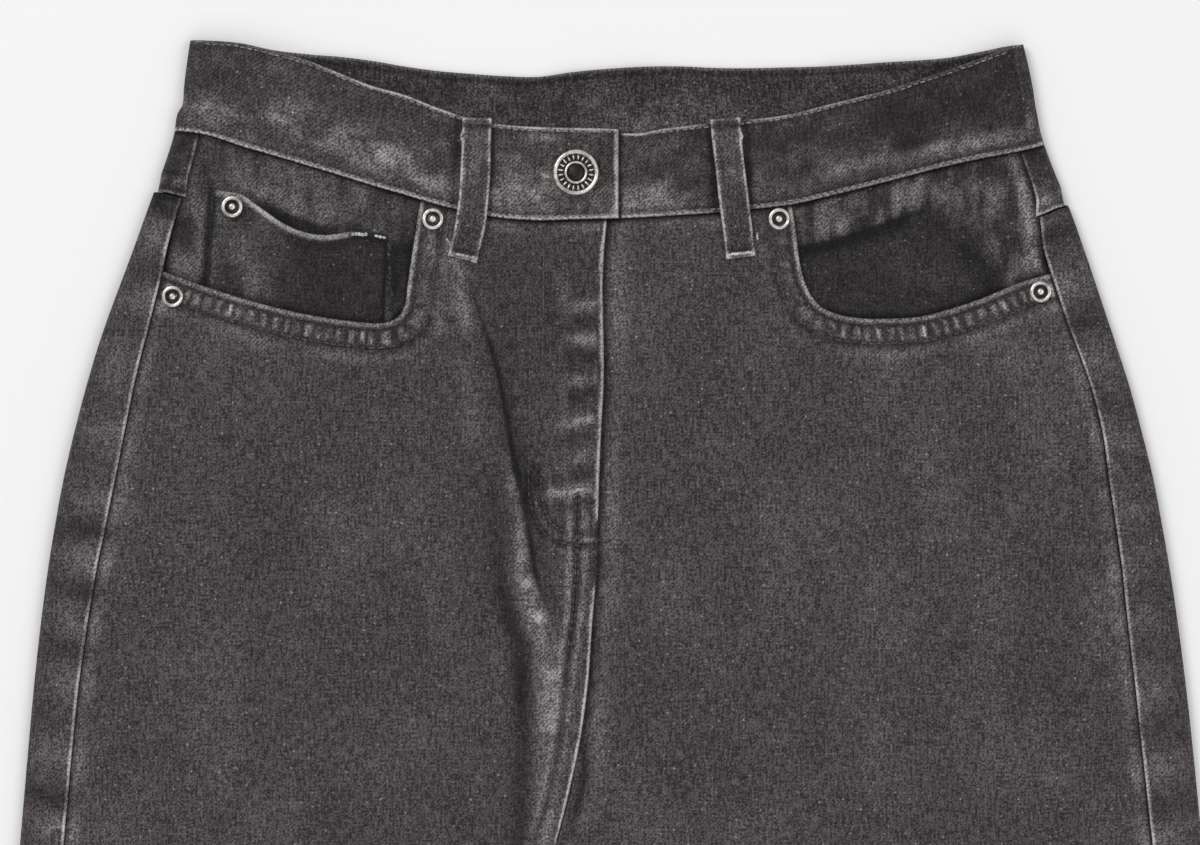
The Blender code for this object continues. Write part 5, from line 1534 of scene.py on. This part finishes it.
def turnedPiece(name, x, drop, base, profiles, finishes, steps, replaced, ribs=None):
    body = bmesh.new()
    for k, profile in enumerate(profiles):
        points = [body.verts.new((radius * mm, 0.0, height * mm)) for radius, height in profile]
        edges = [body.edges.new(pair) for pair in zip(points, points[1:])]
        bmesh.ops.spin(body, geom=points + edges, cent=(0, 0, 0), axis=(0, 0, 1), angle=2 * math.pi,
                       steps=steps, use_merge=True, use_duplicate=False)
        for face in body.faces:
            if face.material_index == 0 and not face.tag:
                face.material_index = k
                face.tag = True
    if ribs:
        count, inner, outer, height, wide = ribs
        for k in range(count):
            angle = 2 * math.pi * (k + 0.5) / count
            middle = Vector(
                ((inner + outer) / 2 * math.cos(angle), (inner + outer) / 2 * math.sin(angle), height)
            )
            place = Matrix.Translation(middle * mm) @ Matrix.Rotation(angle, 4, "Z")
            size = Matrix.Diagonal(((outer - inner) * mm, wide * mm, 0.5 * mm, 1.0))
            bmesh.ops.create_cube(body, size=1.0, matrix=place @ size)
    bmesh.ops.remove_doubles(body, verts=body.verts, dist=1e-6)
    bmesh.ops.recalc_face_normals(body, faces=body.faces)
    centre = Vector(placed(float(x), float(drop), float(base)).tolist())
    bmesh.ops.translate(body, verts=body.verts, vec=centre)
    return newPiece(name, body, finishes, replaced)


rivet = {
    # bright outer ring, dark groove, bright nub; radii and heights in mm
    "plate": [(0.0, 0.2), (2.9, 0.24), (3.3, 0.4)],
    "ring": [
        (3.05, 0.1), (3.15, 0.7), (3.45, 1.02), (3.9, 1.14), (4.4, 0.98), (4.7, 0.62), (4.8, 0.1),
        (4.8, -0.6),
    ],
    "nub": [(0.0, 1.35), (0.6, 1.3), (1.1, 1.1), (1.45, 0.75), (1.55, 0.15)],
    "places": {
        "pocket_right": (-75.7, 76.9), "side_right": (-188.8, 110.6), "pocket_left": (74.8, 76.9),
        "side_left": (188.4, 108.6), "coin": (-163.0, 71.6),
    },
}
button = {
    "place": (-13.5, 57.0),
    "base": 9.1,
    "rim": [
        (7.9, 1.75), (8.1, 2.55), (8.5, 3.05), (9.05, 3.25), (9.6, 2.95), (9.95, 2.35), (10.0, 1.6),
        (9.6, 0.6),
        (8.4, 0.0),
    ],
    "dish": [(0.0, 1.55), (3.9, 1.55), (8.0, 1.75)],
    "ring": [(3.75, 1.4), (3.85, 2.3), (4.15, 2.75), (4.55, 2.85), (4.9, 2.6), (5.05, 2.0), (5.1, 1.4)],
    "dome": [(0.0, 2.55), (1.6, 2.5), (2.9, 2.25), (3.6, 1.85), (3.8, 1.5)],
    "ribs": (20, 5.6, 7.7, 1.85, 0.72),
}


# Finishes. A Wire is one output of a node, and sums or products of wires add Math nodes

class Wire:
    def __init__(self, finish, output):
        self.finish, self.output = finish, output

    def maths(self, operation, other, swapped=False):
        pair = [other, self] if swapped else [self, other]
        return self.finish.node("ShaderNodeMath", {"operation": operation}, pair)

    def sine(self):
        return self.finish.node("ShaderNodeMath", {"operation": "SINE"}, [self])

    def smooth(self, low, high):
        return self.finish.node(
            "ShaderNodeMapRange", {"interpolation_type": "SMOOTHSTEP"}, [self, low, high, 0.0, 1.0]
        )

    def above(self, low):
        return self.maths("MAXIMUM", low)

    def below(self, high):
        return self.maths("MINIMUM", high)


for symbol, operation in (("add", "ADD"), ("sub", "SUBTRACT"), ("mul", "MULTIPLY"), ("truediv", "DIVIDE")):
    setattr(Wire, "__%s__" % symbol, lambda wire, other, what=operation: wire.maths(what, other))
    setattr(Wire, "__r%s__" % symbol, lambda wire, other, what=operation: wire.maths(what, other, True))


class Finish:
    def __init__(self, name, metallic=0.0, specular=0.3, sheen=0.0):
        self.material = bpy.data.materials.new(name)
        self.material.use_nodes = True
        self.tree = self.material.node_tree
        self.shader = self.tree.nodes["Principled BSDF"]
        self.shader.inputs["Metallic"].default_value = metallic
        self.shader.inputs["Specular IOR Level"].default_value = specular
        self.shader.inputs["Sheen Weight"].default_value = sheen
        self.shader.inputs["Sheen Roughness"].default_value = 0.6

    def node(self, kind, settings=None, values=(), result=0):
        made = self.tree.nodes.new(kind)
        for key, value in (settings or {}).items():
            setattr(made, key, value)
        pairs = values.items() if isinstance(values, dict) else enumerate(values)
        for key, value in pairs:
            if isinstance(value, Wire):
                self.tree.links.new(value.output, made.inputs[key])
            elif value is not None:
                made.inputs[key].default_value = value
        return Wire(self, made.outputs[result])

    def noise(self, place, size, detail=2.0, rough=0.5, distortion=0.0):
        # unevenness of about that size in mm, round 0.5
        return self.node("ShaderNodeTexNoise", None, {
            "Vector": place, "Scale": 1.0 / size, "Detail": detail, "Roughness": rough,
            "Distortion": distortion,
        })

    def blend(self, factor, first, second, how="MIX"):
        return self.node("ShaderNodeMix", {"data_type": "RGBA", "blend_type": how, "clamp_factor": True},
                         {0: factor, 6: first, 7: second}, 2)

    def inMm(self, place):
        return self.node("ShaderNodeVectorMath", {"operation": "SCALE"}, {0: place, "Scale": 1.0 / mm})

    def joined(self, x, y):
        return self.node("ShaderNodeCombineXYZ", None, [x, y, 0.0])

    def attribute(self, name):
        return self.node("ShaderNodeAttribute", {"attribute_name": name}, (), 2)

    def bump(self, height, depth, strength=1.0):
        return self.node(
            "ShaderNodeBump", None, {"Height": height, "Distance": depth * mm, "Strength": strength}
        )

    def surface(self, **wires):
        names = {"colour": "Base Color", "roughness": "Roughness", "normal": "Normal"}
        for key, wire in wires.items():
            self.tree.links.new(wire.output, self.shader.inputs[names[key]])
        return self.material


def rgba(red, green, blue):
    return (red, green, blue, 1.0)


def denim(name, tone=1.0, twill=0.16, wash=0.12, contrast=1.0, slant=1.0, worn=1.0):
    # washed black twill: charcoal warp over pale weft, mottled by the wash, worn pale on its edges; the
    # wear field also lays on painted highlights, and the shade field darkens it with painted shade
    cloth = Finish(name, specular=0.18, sheen=0.06)
    mapped = cloth.inMm(cloth.node("ShaderNodeUVMap", {"uv_map": "cloth"}))
    parts = cloth.tree.nodes.new("ShaderNodeSeparateXYZ")
    cloth.tree.links.new(mapped.output, parts.inputs[0])
    across, down = Wire(cloth, parts.outputs[0]), Wire(cloth, parts.outputs[1])
    wander = cloth.noise(mapped, 9.0, 1.0)
    warp = cloth.noise(cloth.joined(across * 0.95, down * 0.17), 1.0, 2.0, 0.6)
    weft = cloth.noise(cloth.joined(across * 0.19, down * 1.05), 1.0, 2.0, 0.6)
    grain = cloth.noise(mapped, 1.0, 1.0, 0.7)
    heather = cloth.noise(mapped, 3.0, 2.0, 0.7)
    blotch = cloth.noise(mapped, 9.5, 2.0, 0.55)
    cloud = cloth.noise(mapped, 26.0, 3.0, 0.55)
    broad = cloth.noise(mapped, 80.0, 1.0, 0.5)
    diagonal = (
        ((across * 0.72 * slant + down * 0.7) * (2 * math.pi / 1.4) + wander * 7.0).sine() * 0.5 + 0.5
    )
    specks = cloth.noise(mapped, 1.5, 0.0).smooth(0.76, 0.84)
    wearAndPaintedHighlight = cloth.attribute("wearAndPaintedHighlight")
    paintedShadeAndTone = cloth.attribute("paintedShadeAndTone")
    fleck = (
        grain * 0.5 + heather * 0.25 + warp * 0.15 + weft * 0.1 + (diagonal - 0.5) * 0.06
    ).smooth(0.42, 0.6)
    # the wear field lightens towards a pale yarn colour: real wear on edges and seams, painted highlight on
    # raised folds and lobes
    solidWearAndHighlight = wearAndPaintedHighlight.smooth(0.42, 0.85)
    paleWearAndHighlight = wearAndPaintedHighlight * worn * (0.22 + 1.0 * fleck)
    paleWearAndHighlight = (paleWearAndHighlight + solidWearAndHighlight * (0.42 + 0.55 * fleck) * (1.0 - paleWearAndHighlight)).below(1.0)
    yarn = (
        (warp - 0.5) * 1.7 + (weft - 0.5) * 0.95 + (grain - 0.5) * 2.4 + (heather - 0.5) * 0.95
        + (blotch - 0.5) * 0.35
    )
    tint = 0.4 + yarn * contrast + (diagonal - 0.5) * (twill * (0.6 + 1.2 * cloud))
    tint = tint + (cloud - 0.5) * (wash * 2.2) + (broad - 0.5) * (wash * 1.2)
    tint = tint.above(0.0).below(1.3)
    deep, pale = rgba(
        0.0165 * tone, 0.0136 * tone, 0.014 * tone
    ), rgba(0.126 * tone, 0.107 * tone, 0.11 * tone)
    colour = cloth.blend(tint / 1.3, deep, pale)
    colour = cloth.blend((paleWearAndHighlight + specks * 0.38).below(1.0), colour, rgba(0.43, 0.4, 0.402))
    # dim multiplies the colour by the painted shade field: painted shade below 1, painted highlight above
    # 1, with the wash's tone
    dim = (1.0 + paintedShadeAndTone * 0.85).above(0.1)
    colour = cloth.blend(
        1.0, colour, cloth.node("ShaderNodeCombineColor", None, [dim, dim, dim]), "MULTIPLY"
    )
    height = diagonal * 0.16 + grain * 0.5 + warp * 0.35 + heather * 0.25
    return cloth.surface(
        colour=colour,
        roughness=0.84 + 0.12 * grain,
        normal=cloth.bump(height, 0.22, 0.75),
    )


def metal(name, low, high, rough, scale):
    cast = Finish(name, metallic=0.92, specular=0.5)
    place = cast.inMm(cast.node("ShaderNodeTexCoord", None, (), 3))
    cloudy = cast.noise(place, scale, 3.0, 0.6)
    scratches = cast.noise(place, 0.35, 2.0, 0.7)
    colour = cast.blend(cloudy.smooth(0.3, 0.7), low, high)
    return cast.surface(
        colour=colour,
        roughness=rough + 0.2 * (scratches - 0.5) + 0.15 * cloudy,
        normal=cast.bump(scratches * 0.6 + cloudy * 0.4, 0.06, 0.6),
    )


def threadFinish(name, low, high):
    cotton = Finish(name, specular=0.15, sheen=0.1)
    place = cotton.inMm(cotton.node("ShaderNodeTexCoord", None, (), 3))
    worn = cotton.noise(place, 3.6, 2.0, 0.7)
    fibre = cotton.noise(place, 0.5, 1.0, 0.6)
    colour = cotton.blend((worn * 0.75 + fibre * 0.45).smooth(0.46, 0.78), low, high)
    return cotton.surface(colour=colour, roughness=0.8 + 0.12 * fibre, normal=cotton.bump(fibre, 0.12, 0.7))


# Putting the garment together

denimFinish = denim("washed-denim", tone=0.95, twill=0.12)
bandFinish = denim("band-denim", tone=0.8, twill=0.26, wash=0.2, slant=-1.0)
insideFinish = denim("denim-inside", tone=0.72, twill=0.1, wash=0.15, contrast=1.5, slant=-1.0, worn=0.6)
facingFinish = denim("facing-denim", tone=0.52, twill=0.08, wash=0.14)
coinFinish = denim("coin-pocket-denim", tone=0.54, twill=0.08, wash=0.12, worn=1.1)
loopFinish = denim("loop-denim", tone=0.8, twill=0.26, wash=0.14)
darkThread = threadFinish("dark-thread", rgba(0.018, 0.015, 0.016), rgba(0.115, 0.105, 0.108))
paleThread = threadFinish("worn-thread", rgba(0.085, 0.078, 0.08), rgba(0.3, 0.285, 0.29))
brightThread = threadFinish("frayed-thread", rgba(0.15, 0.142, 0.144), rgba(0.6, 0.585, 0.59))
brightMetal = metal("worn-metal", rgba(0.36, 0.35, 0.33), rgba(0.74, 0.73, 0.7), 0.26, 2.2)
darkMetal = metal("dark-metal", rgba(0.012, 0.011, 0.01), rgba(0.042, 0.039, 0.036), 0.46, 1.6)
print("finishes made")

made, shapes, sewn = {}, {}, {}


def addSheet(key, name, shape, finishes, replaced, wall):
    shapes[key], sewn[key] = shape, []
    made[key] = clothPiece(name, shape, finishes, replaced, wall)


lined = [denimFinish, insideFinish]
sideSheets = [
    # key, name, shape, finishes, slot, node of the part, wall
    ("front-", "denim-front-", frontShape, lined, "denim", "front_", garment["hemWall"]),
    ("back-", "denim-back-", backShape, lined, "denim", "back_", garment["hemWall"]),
    ("yoke-", "denim-yoke-", yokeShape, lined, "denim", "yoke_", garment["wall"]),
    ("facing-", "pocket-facing-", facingShape, [facingFinish], "denim_facing", "pocket_facing_",
     pocketFacing["wall"]),
    ("loop-", "belt-loop-front-", frontLoopShape, [loopFinish], "denim_loops", "loop_front_",
     beltLoop["wall"]),
    ("pocket-", "back-pocket-", backPocketShape, [denimFinish], "denim", "back_pocket_",
     underside["pocketWall"]),
]
for side in sign:
    for key, name, shapeOf, finishes, slotName, node, wall in sideSheets:
        addSheet(key + side, name + side, shapeOf(side), finishes, node + side, wall)
    print("panels of the", side, "side shaped")
addSheet("band", "denim-waistband", bandShape(), [bandFinish, insideFinish], "waistband",
         waistband["wall"])
addSheet(
    "coin", "coin-pocket", coinShape(), [coinFinish], "coin_pocket", coinPocket["wall"]
)
for name, middle, seed in (("right", -118.0, 110), ("centre", 0.0, 114), ("left", 118.0, 118)):
    addSheet("back-loop-" + name, "belt-loop-back-" + name, backLoopShape(middle, seed), [loopFinish],
             "loop_back_" + name, underside["loopWall"])
print("waistband, coin pocket and loops shaped")


def sewFront(side, top):
    front = Sewing("thread-front-" + side, darkThread, "denim")
    for offset in frontPanel["rimStitch"]:
        front.row(shapes["front-" + side]["rimLine"], top, -sign[side] * offset, start=3.0, end=3.0)
    if side == "right":
        jLine, fly, seam = (SeamLine(frontPanel[key]) for key in ("jStitch", "flyTopstitch", "crotchSeam"))
        for offset in frontPanel["jRows"]:
            front.row(jLine, top, offset)
            front.row(fly, top, offset)
        for offset in (-0.5, 0.5):
            front.row(seam, top, offset, end=6.0)
        front.barTack((-8.6, 199.2), (1, 0.05), 7.5, 1.5, top)
    hem = garment["hemStitch"]
    front.row(SeamLine([(seamX(side, hem), hem), (innerX(side, hem, True), hem)]), top, start=1.0)
    front.finishPiece("front-" + side)


def sewBack(side):
    toward, hem = sign[side], garment["hemStitch"]
    back = Sewing("thread-back-" + side, darkThread, "denim")
    under = Surface([made["back-" + side], made["yoke-" + side]], fromAbove=False)
    spots = []
    for share in (0.03, 0.2, 0.4, 0.6, 0.8, 0.93):
        drop = curveAt(garment["yokeSeam"][side], 1, share)
        inner = innerX(side, drop, False)
        spots.append((inner + (foldX(side, drop) - inner) * share, drop))
    for offset in backPanel["felled"]:
        back.row(SeamLine(spots), under, offset * toward)
    if side == "right":
        centre = SeamLine([(innerX(side, d, False), d) for d in (118.0, 170.0, 220.0, 270.0, 310.0, 346.0)])
        for offset in backPanel["felled"]:
            back.row(centre, under, -offset)
    ends = [(innerX(side, hem, False) + 5 * toward, hem), (foldX(side, hem) - 5 * toward, hem)]
    back.row(SeamLine(ends), under)
    back.finishPiece("back-" + side)


def sewBackPocket(side):
    pocket = Sewing("thread-back-pocket-" + side, darkThread, "denim")
    below = Surface([made["pocket-" + side]], fromAbove=False)
    middle, wide, narrow = underside["pocketX"][side], underside["halfTop"], underside["halfBottom"]
    high, low, point = underside["top"], underside["side"], (middle, underside["point"])
    corners = [
        (middle - wide, high), (middle - narrow, low), point, (middle + narrow, low),
        (middle + wide, high)
    ]
    for ends in zip(corners, corners[1:]):
        for offset in underside["rows"]:
            pocket.row(SeamLine(ends), below, offset, start=offset * 0.6, end=offset * 0.6)
    pocket.row(SeamLine([(middle - wide + 1.0, high + 12.5), (middle + wide - 1.0, high + 12.5)]), below)
    for (x, drop), inwards in ((corners[0], 1.0), (corners[-1], -1.0)):
        pocket.barTack((x + inwards * 4.5, drop + 4.5), (0.3 * inwards, 1), 8.0, 1.8, below)
    pocket.finishPiece("pocket-" + side)


def sewLoop(side, top, panel):
    loop = Sewing("thread-loop-" + side, darkThread, "denim_loops")
    strip = SeamLine(beltLoop["front"][side])
    for offset in beltLoop["rows"]:
        loop.row(strip, top, offset, start=3.0, end=3.0)
    loop.barTack(strip.at(2.2), (1, 0.05), 9.5, 1.6, top, 18)
    # pale, worn tacks at the low end, and the frayed threads beside it
    ends = Sewing("thread-loop-end-" + side, brightThread, "denim_loops")
    ends.barTack(strip.at(strip.length - 1.8), beltLoop["lowTack"][side], 10.5, 1.5, top, 15)
    ends.barTack(*beltLoop["frayed"][side], 1.1, panel, 5)
    ends.finishPiece("loop-" + side)
    loop.finishPiece("loop-" + side)


tops = {key: Surface([made[key]]) for key in made if not key.startswith(("pocket", "back-loop"))}
for side in sign:
    sewFront(side, tops["front-" + side])
    sewBack(side)
    sewBackPocket(side)
    sewLoop(side, tops["loop-" + side], tops["front-" + side])
# the pale tack at the coin pocket's right corner
tack = Sewing("thread-coin-pocket", brightThread, "denim_facing")
tack.barTack((-107.6, 83.6), (1, 0.02), 7.0, 1.7, tops["coin"], 5)
tack.barTack((-98.6, 84.5), (1, 0.16), 5.0, 1.3, tops["coin"], 3)
tack.finishPiece("coin")
print("panels sewn")

bandThread = Sewing("thread-waistband", paleThread, "denim_band")
for edge, offset in ((frontLowEdge, 1.7), (frontTopEdge, -1.6)):
    for ends in ((-176.0, 4.0), (6.5, 176.0)):
        line = SeamLine([(x, bandEdge(edge, x)) for x in np.linspace(*ends, 14)])
        bandThread.row(line, tops["band"], offset, start=1.0, end=1.5)
bandThread.finishPiece("band")

# metal
for name, (x, drop) in rivet["places"].items():
    seats = [surface.spot(x + 4.2 * math.cos(a), drop + 4.2 * math.sin(a)) for surface in tops.values()
             for a in np.linspace(0, 2 * math.pi, 9)[:-1]]
    base = max(hit.z for hit in seats if hit is not None) / mm
    turnedPiece("rivet-" + name.replace("_", "-"), x, drop, base - 0.1,
                [rivet["plate"], rivet["ring"], rivet["nub"]],
                [darkMetal, brightMetal, brightMetal], 36, "rivet_" + name)
turnedPiece("waist-button", *button["place"], button["base"],
            [button["rim"], button["dish"], button["ring"], button["dome"]],
            [brightMetal, darkMetal, brightMetal, darkMetal], 72, "button", ribs=button["ribs"])
print("rivets and button turned")

restsOn = {}
for side in sign:
    restsOn.update({
        "front-" + side: ["denim-back-" + side, "pocket-facing-" + side],
        "back-" + side: ["back-pocket-" + side],
        "yoke-" + side: ["denim-back-" + side],
        "facing-" + side: ["denim-back-" + side],
        "loop-" + side: ["denim-waistband"],
        "pocket-" + side: ["denim-back-" + side],
    })
restsOn.update({"band": ["belt-loop-back-centre"], "coin": ["pocket-facing-right"]})
restsOn.update({"back-loop-" + name: ["denim-waistband"] for name in ("right", "centre", "left")})
for key, below in restsOn.items():
    declareSheet(shapes[key])


# The floor, the light and the camera

def makeFloor():
    body = bmesh.new()
    bmesh.ops.create_grid(body, x_segments=4, y_segments=4, size=6.0)
    bmesh.ops.translate(body, verts=body.verts, vec=(0, 0, -0.0003))
    paper = Finish("pale-floor", specular=0.0)
    place = paper.node("ShaderNodeTexCoord", None, (), 3)
    shadeOf = paper.noise(place, 400.0, 1.0) * 0.004 + 0.762
    paper.surface(colour=paper.node("ShaderNodeCombineColor", None, [shadeOf, shadeOf, shadeOf]))
    paper.shader.inputs["Roughness"].default_value = 0.95
    added("pale-floor", meshOf("pale-floor", body, [paper.material]))


studio = {
    "world": 0.62,
    "lamps": [
        # name, place, size, power
        ("key", (-2.34, 2.46, 3.06), 2.3, 92.0),
        ("fill", (2.6, 0.1, 3.0), 3.0, 42.0),
        ("low", (0.4, -2.9, 2.6), 3.0, 22.0),
    ],
    "camera": (0.00146, 0.3611, 1.4557),
    "lens": 100.0,
}


def makeLight():
    world = bpy.data.worlds.new("studio")
    bpy.context.scene.world = world
    world.use_nodes = True
    world.node_tree.nodes["Background"].inputs["Color"].default_value = (1.0, 1.0, 1.0, 1.0)
    world.node_tree.nodes["Background"].inputs["Strength"].default_value = studio["world"]
    target = Vector((0.0, 0.3, 0.0))
    for name, place, size, power in studio["lamps"]:
        lamp = bpy.data.lights.new(name, "AREA")
        lamp.shape = "DISK"
        lamp.size = size
        lamp.energy = power
        holder = added(name, lamp)
        holder.location = place
        holder.rotation_euler = (target - Vector(place)).to_track_quat("-Z", "Y").to_euler()


def makeCamera():
    seen = bpy.data.cameras.new("camera")
    seen.lens = studio["lens"]
    seen.sensor_width = 36.0
    seen.clip_start, seen.clip_end = 0.05, 50.0
    camera = added("camera", seen)
    camera.location = studio["camera"]
    bpy.context.scene.camera = camera


makeFloor()
makeLight()
makeCamera()
bpy.context.scene.view_settings.view_transform = "Standard"
print("stage ready")
